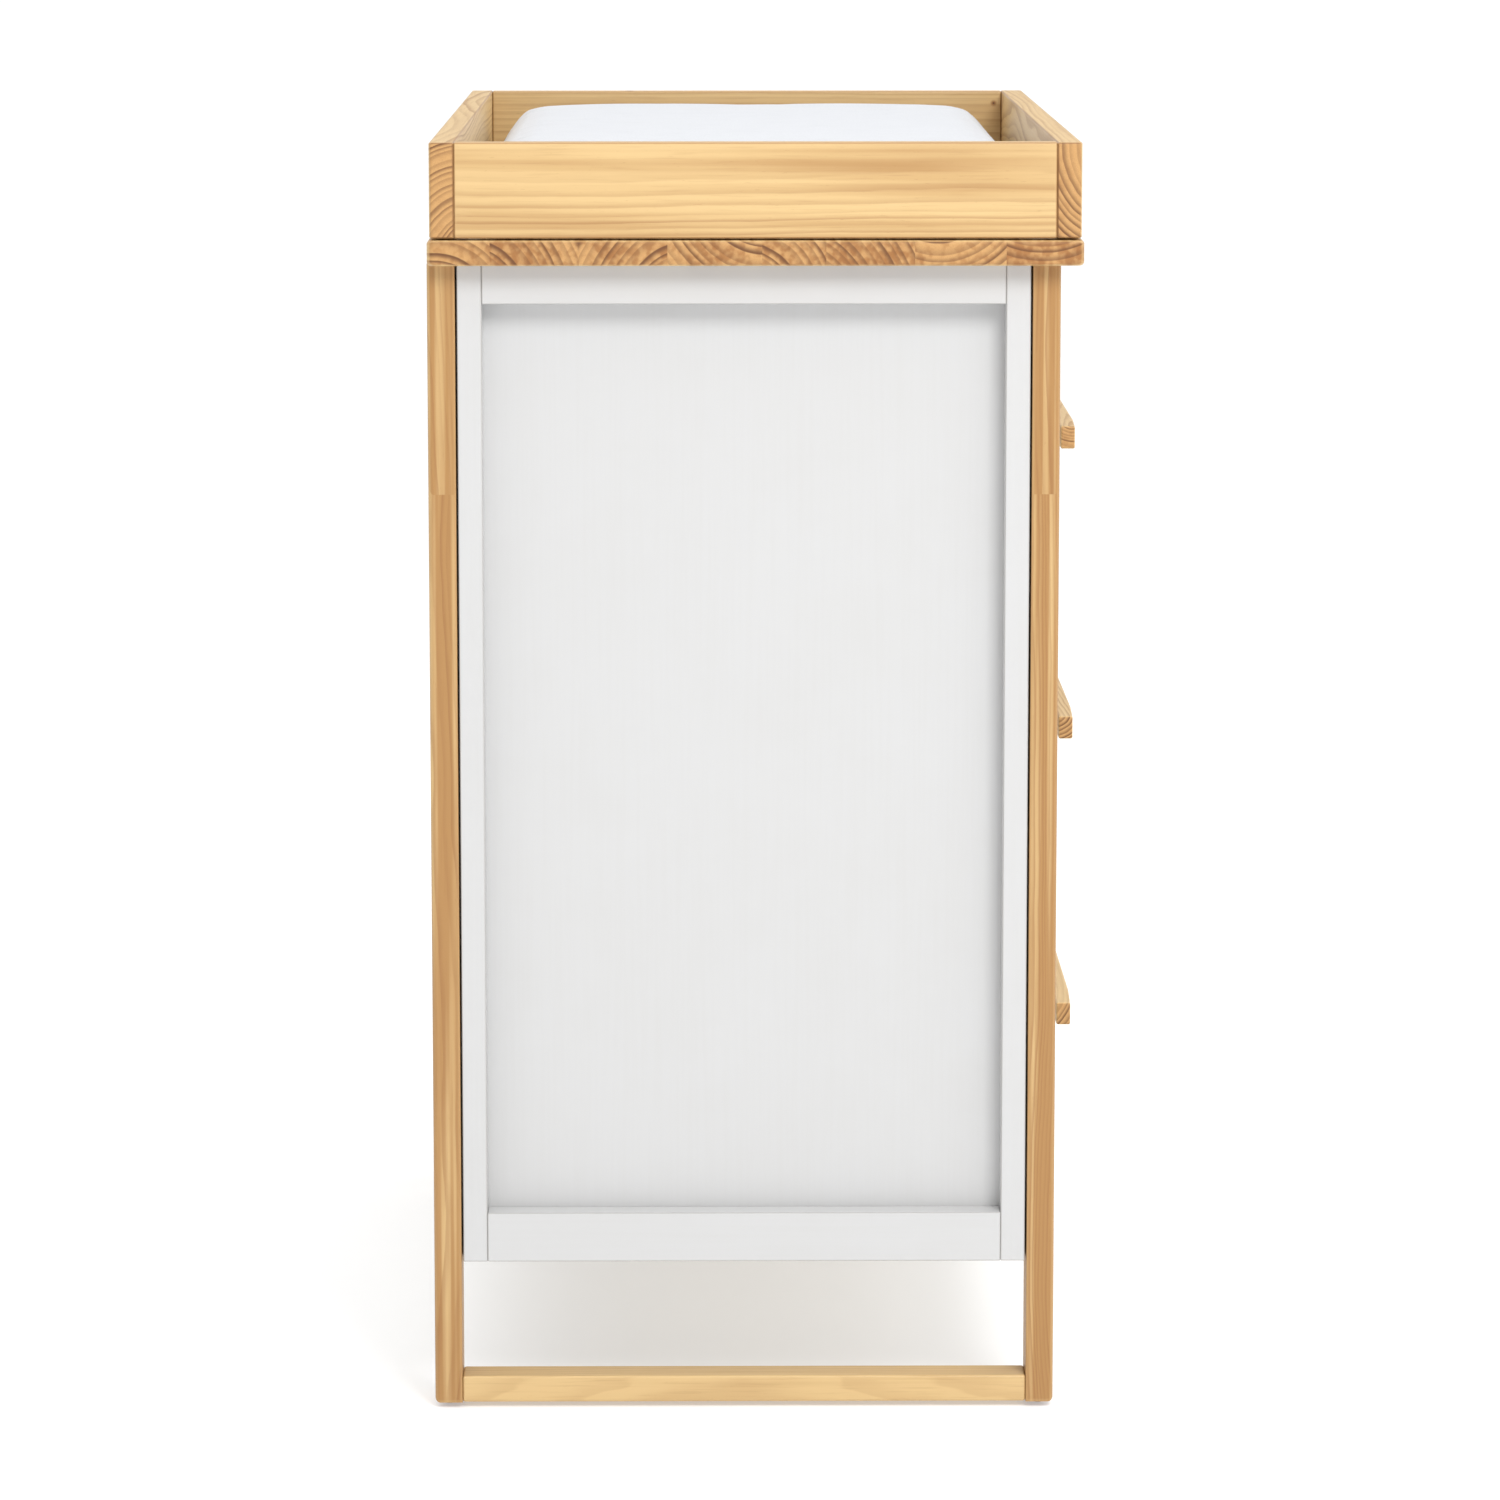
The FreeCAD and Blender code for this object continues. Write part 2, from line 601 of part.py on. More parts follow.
def make_back():
    """The back: two thin panels in grooves, joined in the middle by a strip."""
    width = "places.post_inner + dims.back_groove_depth - places.strip_web - 2 * dims.edge_play"
    height = "places.back_high - places.back_low - 2 * dims.edge_play"
    for side in (LEFT, RIGHT):
        low = "-places.post_inner - dims.back_groove_depth + dims.edge_play"
        name = f"back_panel_{side}"
        node(name, board(name, (width, "dims.back_thick", height),
                         (on_side(side, low, width), "places.back_front",
                          "places.back_low + dims.edge_play")))
    rise = "places.back_high - places.back_low - 2 * dims.back_groove_depth"
    strip = board("back_joint_strip", ("dims.strip_width", "dims.strip_thick", rise),
                  ("-dims.strip_width / 2", "places.back_front + (dims.back_thick - dims.strip_thick) / 2",
                   "places.back_low + dims.back_groove_depth"))
    slots = sketch_on(strip, "XY_Plane")
    for across in ("0", "dims.strip_width - dims.back_groove_depth"):
        rectangle(slots, across, "(dims.strip_thick - places.back_slot) / 2",
                  "dims.back_groove_depth", "places.back_slot")
    pocket(strip, slots, rise, along_normal=True)
    node("back_joint_strip", strip)


# ---------------------------------------------------------------- drawer slides

def slide_level(level):
    """Height of the middle of a drawer's slide."""
    return f"places.first_front + {level} * places.drawer_rise + places.slide_rise"


def make_cleats():
    """Wooden cleats inside each end, flush with the posts, that carry the slides."""
    cleats = []
    for level in range(len(LEVELS)):
        cleat = block("cleat", ("places.panel_in - places.post_inner", "places.between_posts",
                                "dims.cleat_height"),
                      ("-places.panel_in", "places.front_inner",
                       f"{slide_level(level)} - dims.cleat_height / 2"))
        cleats += both_sides("cleat", cleat)
    group("runner_cleats", cleats)


def make_channel(level):
    """The slide's cabinet channel: a web on the cleat, two flanges, and lips that hold the balls."""
    middle = slide_level(level)
    web = "-places.post_inner"
    outside = block("channel_outside",
                    ("dims.channel_depth", "places.slide_length", "dims.channel_height"),
                    (web, "places.slide_front", f"{middle} - dims.channel_height / 2"))
    inside = "dims.channel_height - 2 * dims.steel_thick"
    hollow = block("channel_hollow",
                   ("dims.channel_depth - 2 * dims.steel_thick", "places.slide_length", inside),
                   (f"{web} + dims.steel_thick", "places.slide_front", f"{middle} - ({inside}) / 2"))
    mouth_height = f"{inside} - 2 * dims.channel_lip"
    mouth = block("channel_mouth", ("dims.channel_depth", "places.slide_length", mouth_height),
                  (f"{web} + dims.steel_thick", "places.slide_front", f"{middle} - ({mouth_height}) / 2"))
    return cut("channel", outside, [hollow, mouth])


def make_rail(level):
    """The slide's drawer rail: a web on the drawer's side and two flanges that run on the balls."""
    middle = slide_level(level)
    back = "-places.box_half"
    outside = block("rail_outside", ("dims.rail_depth", "places.slide_length", "dims.rail_height"),
                    (f"{back} - dims.rail_depth", "places.slide_front", f"{middle} - dims.rail_height / 2"))
    inside = "dims.rail_height - 2 * dims.steel_thick"
    hollow = block("rail_hollow", ("dims.rail_depth - dims.steel_thick", "places.slide_length", inside),
                   (f"{back} - dims.rail_depth", "places.slide_front", f"{middle} - ({inside}) / 2"))
    return cut("rail", outside, [hollow])


def make_ball_cage(level):
    """A cage with its balls: a strip bent round the rail, with a hole for each ball."""
    middle = slide_level(level)
    low = "-places.post_inner + places.cage_web"
    height = "2 * places.ball_rise + dims.cage_thick"
    outside = block("cage_outside", ("places.cage_depth", "places.cage_length", height),
                    (low, "places.cage_front", f"{middle} - ({height}) / 2"))
    inside = f"{height} - 2 * dims.cage_thick"
    hollow = block("cage_hollow", ("places.cage_depth", "places.cage_length", inside),
                   (f"{low} + dims.cage_thick", "places.cage_front", f"{middle} - ({inside}) / 2"))
    across = "-places.post_inner + places.ball_out"
    tools = [hollow]
    balls = []
    for number in range(BALLS_IN_RACE):
        back = f"places.cage_front + ({number} + 1 / 2) * places.ball_spacing"
        tools.append(rod("ball_hole", "places.ball_radius + dims.ball_play",
                         f"{height} + 2 * dims.cage_thick",
                         (across, back, f"{middle} - ({height}) / 2 - dims.cage_thick")))
        for way in ("-", "+"):
            ball = doc.addObject("Part::Sphere", "ball")
            ball.setExpression("Radius", "places.ball_radius")
            place(ball, across, back, f"{middle} {way} places.ball_rise")
            balls += both_sides("ball", ball)
    return both_sides("cage", cut("cage", outside, tools)) + balls


# ---------------------------------------------------------------- drawers

def make_drawer_front(name, lift):
    """A plain drawer front, grooved for the drawer's bottom and bored for the handle's screws."""
    body = board(name, ("2 * places.front_half", "dims.front_thick", "places.front_height"),
                 ("-places.front_half", "places.front_plane", lift), "dims.front_radius")
    groove = sketch_on(body, "XZ_Plane", "-dims.front_thick")
    rectangle(groove, "places.front_half - places.box_inner - dims.box_groove_depth",
              "dims.box_lift + dims.box_bottom_lift - dims.groove_play",
              "2 * (places.box_inner + dims.box_groove_depth)", "places.box_slot")
    pocket(body, groove, "dims.box_groove_depth", along_normal=True)
    holes = sketch_on(body, "XZ_Plane")
    for way in ("-", "+"):
        circle(holes, f"places.front_half {way} places.screw_offset", "places.front_height / 2",
               "dims.screw_radius + dims.pin_play")
    pocket(body, holes, "dims.front_thick", along_normal=False)
    return body


def make_drawer_sides(name, lift):
    """Both sides of a drawer, grooved for its bottom."""
    side = board(name + "_one", ("dims.box_board_thick", "places.box_length", "dims.box_height"),
                 ("-places.box_half", "places.front_back", f"{lift} + dims.box_lift"), "dims.ease_radius")
    groove = sketch_on(side, "YZ_Plane", "dims.box_board_thick")
    rectangle(groove, "0", "dims.box_bottom_lift - dims.groove_play",
              "places.box_length", "places.box_slot")
    pocket(side, groove, "dims.box_groove_depth", along_normal=False)
    return both_sides(name, side)


def make_handle(name, lift):
    """A wooden bar on two feet, bored from behind for its screws."""
    body = doc.addObject("PartDesign::Body", name)
    half = "dims.handle_length / 2"
    face = "-places.handle_stand"
    bar = sketch_on(body, "XY_Plane")
    outline(bar, (
        (f"-({half})", f"{face} + dims.handle_taper"),
        (f"-({half}) + dims.handle_taper_length", face),
        (f"{half} - dims.handle_taper_length", face),
        (half, f"{face} + dims.handle_taper"),
        (half, "-places.handle_gap"),
        (f"-({half})", "-places.handle_gap"),
    ))
    pad(body, bar, "dims.handle_height")
    shape = local_shape(body)
    round_edges(body, "dims.handle_radius",
                edges_on_level(shape, 0) + edges_on_level(shape, value("dims.handle_height"))
                + edges_along(shape, "z", x="low") + edges_along(shape, "z", x="high"))
    feet = sketch_on(body, "XY_Plane", "dims.handle_radius")
    overlap = "dims.handle_thick / 2"
    for low in (f"-({half}) + dims.handle_foot_inset",
                f"{half} - dims.handle_foot_inset - dims.handle_foot_length"):
        rectangle(feet, low, f"-places.handle_gap - {overlap}", "dims.handle_foot_length",
                  f"places.handle_gap + {overlap}")
    pad(body, feet, "dims.handle_height - 2 * dims.handle_radius")
    holes = sketch_on(body, "XZ_Plane")
    for way in ("-", ""):
        circle(holes, f"{way}places.screw_offset", "dims.handle_height / 2",
               "dims.screw_radius + dims.pin_play")
    pocket(body, holes, "dims.screw_bite + dims.pin_play", along_normal=True)
    place(body, "0", "places.front_plane", f"{lift} + (places.front_height - dims.handle_height) / 2")
    return body


def make_handle_screws(lift):
    """Two screws from inside the drawer, through its front and into the handle's feet."""
    across = "-places.screw_offset"
    middle = f"{lift} + places.front_height / 2"
    head = rod("screw_head", "dims.screw_head_radius", "dims.screw_head_height",
               (across, "places.front_back", middle), axis="y")
    shank = rod("screw_shank", "dims.screw_radius", "dims.front_thick + dims.screw_bite",
                (across, "places.front_plane - dims.screw_bite", middle), axis="y")
    slot = block("screw_slot",
                 ("dims.screw_slot_length", "dims.screw_head_height / 2", "dims.screw_slot_width"),
                 (f"{across} - dims.screw_slot_length / 2",
                  "places.front_back + dims.screw_head_height / 2",
                  f"{middle} - dims.screw_slot_width / 2"))
    return both_sides("screw", cut("screw", fuse("screw_blank", [head, shank]), [slot]))


def make_drawer(level, name):
    """One drawer with its handle and its half of the slides."""
    lift = f"places.first_front + {level} * places.drawer_rise"
    floor = f"{lift} + dims.box_lift + dims.box_bottom_lift"
    node(f"drawer_front_{name}", make_drawer_front(f"drawer_front_{name}", lift))
    group(f"drawer_sides_{name}", make_drawer_sides(f"drawer_side_{name}", lift))
    back = board(f"drawer_back_{name}",
                 ("2 * places.box_inner", "dims.box_board_thick",
                  "dims.box_height - dims.box_bottom_lift - dims.box_bottom_thick"),
                 ("-places.box_inner", "places.front_back + places.box_length - dims.box_board_thick",
                  f"{floor} + dims.box_bottom_thick"), "dims.ease_radius")
    node(f"drawer_back_{name}", back)
    reach = "dims.box_groove_depth - dims.edge_play"
    bottom = board(f"drawer_bottom_{name}",
                   (f"2 * (places.box_inner + {reach})", f"places.box_length + {reach}",
                    "dims.box_bottom_thick"),
                   (f"-places.box_inner - ({reach})", f"places.front_back - ({reach})", floor))
    node(f"drawer_bottom_{name}", bottom)
    node(f"handle_{name}", make_handle(f"handle_{name}", lift))
    group(f"handle_screws_{name}", make_handle_screws(lift))
    group(f"slide_rails_{name}", both_sides("rail", make_rail(level)))
    group(f"ball_cages_{name}", make_ball_cage(level))


# ---------------------------------------------------------------- changing tray and pad

def make_tray():
    """The lift-off tray: two long boards with two end boards between them, on anti-slip pads."""
    long_boards = (("tray_board_front", "places.tray_front", "low"),
                   ("tray_board_rear", "places.tray_rear - dims.tray_thick", "high"))
    for name, back, outer in long_boards:
        body = board(name, ("2 * places.tray_half", "dims.tray_thick", "dims.tray_height"),
                     ("-places.tray_half", back, "places.tray_floor"))
        round_edges(body, "dims.tray_corner", edges_along(local_shape(body), "z", y=outer))
        shape = local_shape(body)
        inner = "high" if outer == "low" else "low"
        round_edges(body, "dims.tray_radius",
                    edges_on_level(shape, 0) + edges_on_level(shape, value("dims.tray_height"))
                    + edges_along(shape, "z", y=inner))
        node(name, body)
    for side in (LEFT, RIGHT):
        name = f"tray_end_{side}"
        node(name, board(name, ("dims.tray_thick", "places.tray_inner_width", "dims.tray_height"),
                         (on_side(side, "-places.tray_half", "dims.tray_thick"),
                          "places.tray_front + dims.tray_thick", "places.tray_floor"),
                         "dims.tray_radius"))
    grips = []
    for back in ("places.tray_front", "places.tray_rear - dims.tray_thick"):
        grip = block("grip", ("dims.grip_length", "dims.grip_width", "dims.grip_thick"),
                     ("-places.tray_half + dims.grip_inset - dims.grip_length / 2",
                      f"{back} + (dims.tray_thick - dims.grip_width) / 2", "places.board_top"))
        grips += both_sides("grip", grip)
    group("tray_grips", grips)


def make_changing_pad():
    """The changing pad, a soft block that fills the tray to just under its rim."""
    body = board("changing_pad",
                 ("2 * (places.tray_inner_half - dims.cushion_end_gap)",
                  "places.tray_inner_width - 2 * dims.cushion_side_gap", "dims.cushion_thick"),
                 ("-places.tray_inner_half + dims.cushion_end_gap",
                  "places.tray_front + dims.tray_thick + dims.cushion_side_gap",
                  "places.board_top + dims.cushion_seat_gap"))
    round_edges(body, "dims.cushion_corner", edges_along(local_shape(body), "z"))
    round_edges(body, "dims.cushion_radius",
                edges_on_level(local_shape(body), value("dims.cushion_thick")))
    round_edges(body, "dims.cushion_foot_radius", edges_on_level(local_shape(body), 0))
    node("changing_pad", body)


# ---------------------------------------------------------------- the whole table

def check_document():
    """Stop if any object failed, or any sub-part is empty or broken."""
    for thing in doc.Objects:
        if "Invalid" in thing.State or "Error" in thing.State:
            raise RuntimeError(f"{thing.Name} failed: {thing.State}")
    for thing in nodes:
        if thing.Shape.isNull() or not thing.Shape.isValid():
            raise RuntimeError(f"{thing.Label} has no valid shape")
    labels = [thing.Label for thing in nodes]
    if len(set(labels)) < len(labels):
        raise RuntimeError("two sub-parts share a label")


def write_parts():
    """Write each sub-part under its label."""
    os.makedirs("parts", exist_ok=True)
    for thing in nodes:
        thing.Shape.exportStep(f"parts/{thing.Label}.step")
        print(f"{thing.Label}: {len(thing.Shape.Solids)} solids")


for end in (LEFT, RIGHT):
    make_post(end, front=True)
    make_post(end, front=False)
    make_foot_rail(end)
    make_side(end)
make_glides()
make_top_board()
make_front_rails()
make_rear_rails()
make_cam_locks()
make_dividers()
make_back()
make_cleats()
group("slide_channels",
      [piece for level in range(len(LEVELS)) for piece in both_sides("channel", make_channel(level))])
for drawer_level, drawer_name in enumerate(LEVELS):
    make_drawer(drawer_level, drawer_name)
make_tray()
make_changing_pad()
doc.recompute()
check_document()
write_parts()
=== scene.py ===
import json
import math

import bpy
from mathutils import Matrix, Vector, noise
from mathutils.bvhtree import BVHTree

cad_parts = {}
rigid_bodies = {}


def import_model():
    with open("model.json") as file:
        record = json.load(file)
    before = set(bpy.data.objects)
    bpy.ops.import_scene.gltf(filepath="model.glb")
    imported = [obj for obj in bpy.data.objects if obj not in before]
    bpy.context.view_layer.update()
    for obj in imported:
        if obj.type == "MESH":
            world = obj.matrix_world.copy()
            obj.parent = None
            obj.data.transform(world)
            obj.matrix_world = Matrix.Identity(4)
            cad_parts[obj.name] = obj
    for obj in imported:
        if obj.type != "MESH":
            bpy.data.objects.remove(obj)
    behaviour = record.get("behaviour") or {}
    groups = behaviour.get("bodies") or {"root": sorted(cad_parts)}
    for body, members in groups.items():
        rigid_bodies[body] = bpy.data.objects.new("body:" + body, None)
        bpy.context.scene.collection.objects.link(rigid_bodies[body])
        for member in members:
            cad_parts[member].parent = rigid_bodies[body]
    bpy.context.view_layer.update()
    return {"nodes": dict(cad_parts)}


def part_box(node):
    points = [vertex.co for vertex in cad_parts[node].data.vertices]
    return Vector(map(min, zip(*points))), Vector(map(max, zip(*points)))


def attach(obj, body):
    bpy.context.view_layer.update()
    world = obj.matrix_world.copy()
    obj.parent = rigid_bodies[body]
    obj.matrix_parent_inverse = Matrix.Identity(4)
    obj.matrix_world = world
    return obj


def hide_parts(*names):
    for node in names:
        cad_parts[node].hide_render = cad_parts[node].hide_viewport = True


bl_info = {
    "name": "Changing table",
    "version": (1, 0, 0),
    "blender": (4, 5, 0),
    "location": "3D View > Sidebar > Changing table",
    "description": "Finishes a changing table in pine and white paint and makes its pad",
    "category": "Object",
}

MM = 0.001
LEVELS = ("lower", "middle", "upper")
SIDES = ("left", "right")
ENDS = ("front", "rear")
EDGES = ("top", "bottom")

# Which axes run along a board's grain, across it and up, by the way its grain runs.
AXES = {"x": (0, 1, 2), "y": (1, 0, 2), "z": (2, 0, 1)}

for leftover in list(bpy.data.objects):
    bpy.data.objects.remove(leftover)
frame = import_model()
CAD_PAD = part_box("changing_pad")


# ---------------------------------------------------------------- sizes and colours

class PineSettings(bpy.types.PropertyGroup):
    """Colours of the lacquered pine."""

    pale: bpy.props.FloatVectorProperty(
        name="Early wood", description="Pale wood between two growth lines",
        subtype="COLOR", default=(0.655, 0.455, 0.212), min=0, max=1)
    honey: bpy.props.FloatVectorProperty(
        name="Honey wood", description="Warmer patches and heart wood",
        subtype="COLOR", default=(0.395, 0.208, 0.069), min=0, max=1)
    line: bpy.props.FloatVectorProperty(
        name="Late wood", description="Growth lines on the long faces",
        subtype="COLOR", default=(0.30, 0.135, 0.042), min=0, max=1)
    end_line: bpy.props.FloatVectorProperty(
        name="Late wood on end grain", description="Growth rings on a sawn end",
        subtype="COLOR", default=(0.13, 0.047, 0.014), min=0, max=1)
    end_tint: bpy.props.FloatVectorProperty(
        name="End grain", description="What a sawn end multiplies the wood's colour by",
        subtype="COLOR", default=(0.84, 0.67, 0.53), min=0, max=1)
    knot: bpy.props.FloatVectorProperty(
        name="Knot", description="Pin knots", subtype="COLOR",
        default=(0.10, 0.045, 0.02), min=0, max=1)
    roughness: bpy.props.FloatProperty(
        name="Roughness", description="Roughness of the clear satin lacquer",
        default=0.42, min=0, max=1)


class PaintSettings(bpy.types.PropertyGroup):
    """The white satin paint."""

    white: bpy.props.FloatVectorProperty(
        name="White", description="Colour of the paint", subtype="COLOR",
        default=(0.565, 0.565, 0.565), min=0, max=1)
    worn: bpy.props.FloatVectorProperty(
        name="Edges", description="Colour of the paint where it is thin along an edge",
        subtype="COLOR", default=(0.51, 0.50, 0.48), min=0, max=1)
    # Painted shade: the joint colour darkens the line where two pieces meet, for the shade that
    # falls in it, besides dust and thin paint there.
    joint: bpy.props.FloatVectorProperty(
        name="Joint", description="Dust and thin paint in the line where two pieces meet",
        subtype="COLOR", default=(0.30, 0.29, 0.27), min=0, max=1)
    roughness: bpy.props.FloatProperty(
        name="Roughness", description="Roughness of the satin paint", default=0.38, min=0, max=1)


class PadSettings(bpy.types.PropertyGroup):
    """The changing pad's shape and cover."""

    room: bpy.props.FloatProperty(
        name="Room to swell", description="How far the pad starts inside the space it fills",
        default=5 * MM, min=0, unit="LENGTH")
    cell: bpy.props.FloatProperty(
        name="Cell", description="Size of the cover's faces before the last subdivision",
        default=6 * MM, min=4 * MM, unit="LENGTH")
    corner: bpy.props.FloatProperty(
        name="Corner", description="Radius of the pad's corners seen from above",
        default=36 * MM, min=0, unit="LENGTH")
    shoulder: bpy.props.FloatProperty(
        name="Shoulder", description="Radius of the pad's upper edge",
        default=13 * MM, min=0, unit="LENGTH")
    droop: bpy.props.FloatProperty(
        name="Droop", description="How far the corners hang below the crown",
        default=5 * MM, min=0, unit="LENGTH")
    crown: bpy.props.FloatProperty(
        name="Crown", description="How far the stuffed top stands above the plain pad's top",
        default=4 * MM, min=0, unit="LENGTH")
    swell: bpy.props.FloatProperty(
        name="Swell", description="The most that the stuffing may push the cover out",
        default=6 * MM, min=0, unit="LENGTH")
    pressure: bpy.props.FloatProperty(
        name="Pressure", description="Pressure of the stuffing", default=4, min=0)
    piping: bpy.props.FloatProperty(
        name="Piping", description="Radius of the piping in the seam",
        default=1.4 * MM, min=0, unit="LENGTH")
    seam: bpy.props.FloatProperty(
        name="Seam", description="Height of the seam above the pad's underside",
        default=21 * MM, min=0, unit="LENGTH")
    cover: bpy.props.FloatVectorProperty(
        name="Cover", description="Colour of the cover", subtype="COLOR",
        default=(0.585, 0.60, 0.63), min=0, max=1)


class HardwareSettings(bpy.types.PropertyGroup):
    """Metal, plastic and rubber pieces."""

    steel: bpy.props.FloatVectorProperty(
        name="Steel", description="Zinc-plated steel of the slides", subtype="COLOR",
        default=(0.56, 0.58, 0.62), min=0, max=1)
    zinc: bpy.props.FloatVectorProperty(
        name="Zinc", description="Cast zinc of the cam locks", subtype="COLOR",
        default=(0.44, 0.45, 0.47), min=0, max=1)
    glide: bpy.props.FloatVectorProperty(
        name="Glide", description="Plastic of the floor glides", subtype="COLOR",
        default=(0.075, 0.045, 0.03), min=0, max=1)
    grip: bpy.props.FloatVectorProperty(
        name="Grip", description="Rubber of the anti-slip pads", subtype="COLOR",
        default=(0.03, 0.03, 0.03), min=0, max=1)


class StageSettings(bpy.types.PropertyGroup):
    """The camera, the floor and the lights."""

    distance: bpy.props.FloatProperty(
        name="Distance", description="Camera from the middle of the table",
        default=4.979, min=1, unit="LENGTH")
    height: bpy.props.FloatProperty(
        name="Height", description="Camera above the floor", default=1.206, unit="LENGTH")
    aside: bpy.props.FloatProperty(
        name="Aside", description="Camera towards the rear of the table",
        default=0.0454, unit="LENGTH")
    pitch: bpy.props.FloatProperty(
        name="Pitch", description="How far the camera looks down",
        default=math.radians(8.674), subtype="ANGLE")
    turn: bpy.props.FloatProperty(
        name="Turn", description="How far the camera turns towards the drawers",
        default=math.radians(0.457), subtype="ANGLE")
    lens: bpy.props.FloatProperty(
        name="Lens", description="Focal length in millimetres", default=146.6, min=10)
    floor: bpy.props.FloatVectorProperty(
        name="Floor", description="Colour of the floor", subtype="COLOR",
        default=(0.66, 0.66, 0.66), min=0, max=1)
    key: bpy.props.FloatProperty(
        name="Key light", description="Power in watts of the light at the left end", default=75)
    fill: bpy.props.FloatProperty(
        name="Fill light", description="Power in watts of the rear light, half the front light's",
        default=26)
    sky: bpy.props.FloatProperty(
        name="Sky", description="Strength of the even light all round", default=0.20)
    zenith: bpy.props.FloatProperty(
        name="Zenith", description="How much stronger the light is straight above", default=1.7)
    horizon: bpy.props.FloatProperty(
        name="Horizon", description="How much stronger the light is behind the floor's edge",
        default=0.84)
    glow: bpy.props.FloatProperty(
        name="Glow", description="How much the floor shines, to keep it pale far away",
        default=0.37)


class TableSettings(bpy.types.PropertyGroup):
    """All the settings of the changing table."""

    pine: bpy.props.PointerProperty(type=PineSettings)
    paint: bpy.props.PointerProperty(type=PaintSettings)
    pad: bpy.props.PointerProperty(type=PadSettings)
    hardware: bpy.props.PointerProperty(type=HardwareSettings)
    stage: bpy.props.PointerProperty(type=StageSettings)


# ---------------------------------------------------------------- building finishes

class Value:
    """A value in a finish; arithmetic on it adds the maths to the finish."""

    def __init__(self, finish, socket):
        self.finish = finish
        self.socket = socket

    def maths(self, operation, *others):
        return self.finish.node("ShaderNodeMath", {"operation": operation}, (self, *others))

    def __add__(self, other):
        return self.maths("ADD", other)

    __radd__ = __add__

    def __sub__(self, other):
        return self.maths("SUBTRACT", other)

    def __rsub__(self, other):
        return self.finish.node("ShaderNodeMath", {"operation": "SUBTRACT"}, (other, self))

    def __mul__(self, other):
        return self.maths("MULTIPLY", other)

    __rmul__ = __mul__

    def __truediv__(self, other):
        return self.maths("DIVIDE", other)

    def __pow__(self, other):
        return self.maths("POWER", other)

    def __gt__(self, other):
        return self.maths("GREATER_THAN", other)

    def __abs__(self):
        return self.maths("ABSOLUTE")

    def floor(self):
        return self.maths("FLOOR")

    def least(self, other):
        return self.maths("MINIMUM", other)

    def most(self, other):
        return self.maths("MAXIMUM", other)

    def step(self, low, high):
        """0 below low, 1 above high and smooth in between."""
        return self.finish.node("ShaderNodeMapRange", {"interpolation_type": "SMOOTHSTEP"},
                                (self, low, high, 0, 1))


class Nodes:
    """The nodes of a material or of the world."""

    def __init__(self, tree):
        self.tree = tree

    def feed(self, socket, content):
        """Link a value to a socket, or set the socket to a plain number, colour or vector."""
        if isinstance(content, Value):
            self.tree.links.new(content.socket, socket)
        else:
            socket.default_value = content

    def node(self, kind, settings=None, inputs=(), output=0):
        """A node of a kind, with its settings made first and then its inputs."""
        made = self.tree.nodes.new(kind)
        for name, setting in (settings or {}).items():
            setattr(made, name, setting)
        pairs = inputs.items() if isinstance(inputs, dict) else enumerate(inputs)
        for name, content in pairs:
            self.feed(made.inputs[name], content)
        return Value(self, made.outputs[output])

    def parts(self, vector):
        """The three numbers of a vector."""
        return [self.node("ShaderNodeSeparateXYZ", None, (vector,), axis) for axis in range(3)]


class Finish(Nodes):
    """A material for one kind of piece. Places in it are in millimetres, in the table's frame."""

    def __init__(self, name):
        self.material = bpy.data.materials.new(name)
        self.material.use_nodes = True
        super().__init__(self.material.node_tree)
        self.tree.nodes.clear()
        self.shader = self.tree.nodes.new("ShaderNodeBsdfPrincipled")
        output = self.tree.nodes.new("ShaderNodeOutputMaterial")
        self.tree.links.new(self.shader.outputs["BSDF"], output.inputs["Surface"])

    def place(self):
        """Where a point is on the piece."""
        spot = self.node("ShaderNodeTexCoord", output="Object")
        return self.parts(self.node("ShaderNodeVectorMath", {"operation": "SCALE"},
                                    {"Vector": spot, "Scale": 1 / MM}))

    def facing(self, axis):
        """How squarely the surface faces along an axis, from 0 to 1."""
        normal = self.node("ShaderNodeTexCoord", output="Normal")
        return abs(self.parts(normal)["xyz".index(axis)])

    def vector(self, across, back, up):
        return self.node("ShaderNodeCombineXYZ", None, (across, back, up))

    def noise(self, vector, detail=2, output="Fac"):
        return self.node("ShaderNodeTexNoise", None,
                         {"Vector": vector, "Scale": 1, "Detail": detail}, output)

    def texture(self, spot, sizes, detail=2, seed=0, output="Fac"):
        """Noise whose blotches have a size in millimetres along each direction of a place."""
        first, second, third = (number / size for number, size in zip(spot, sizes))
        if seed:
            first = first + seed
        return self.noise(self.vector(first, second, third), detail, output)

    def chance(self, number):
        """The same random number for the same whole number."""
        return self.node("ShaderNodeTexWhiteNoise", {"noise_dimensions": "1D"}, {"W": number})

    def mix(self, first, second, share, kind="MIX"):
        """Two colours blended by a share."""
        return self.node("ShaderNodeMix", {"data_type": "RGBA", "blend_type": kind},
                         {0: share, 6: opaque(first), 7: opaque(second)}, 2)

    def edges(self, place, box, width):
        """1 along the edges of a box and 0 further in than a width."""
        gaps = []
        for spot, low, high in zip(place, *box):
            gaps.append((spot - low / MM).least(high / MM - spot))
        first, second, third = gaps
        nearer = first.least(second)
        further = first.most(second)
        return 1 - nearer.most(further.least(third)).step(width / 4, width)

    def bump(self, height, depth):
        """Feed the surface's relief: a height from 0 to 1 and its depth in millimetres."""
        relief = self.node("ShaderNodeBump", None,
                           {"Strength": 1, "Distance": depth * MM, "Height": height})
        self.feed(self.shader.inputs["Normal"], relief)

    def surface(self, **sockets):
        """Feed the shader's sockets, named with underscores for spaces."""
        for name, content in sockets.items():
            self.feed(self.shader.inputs[name.replace("_", " ")], content)


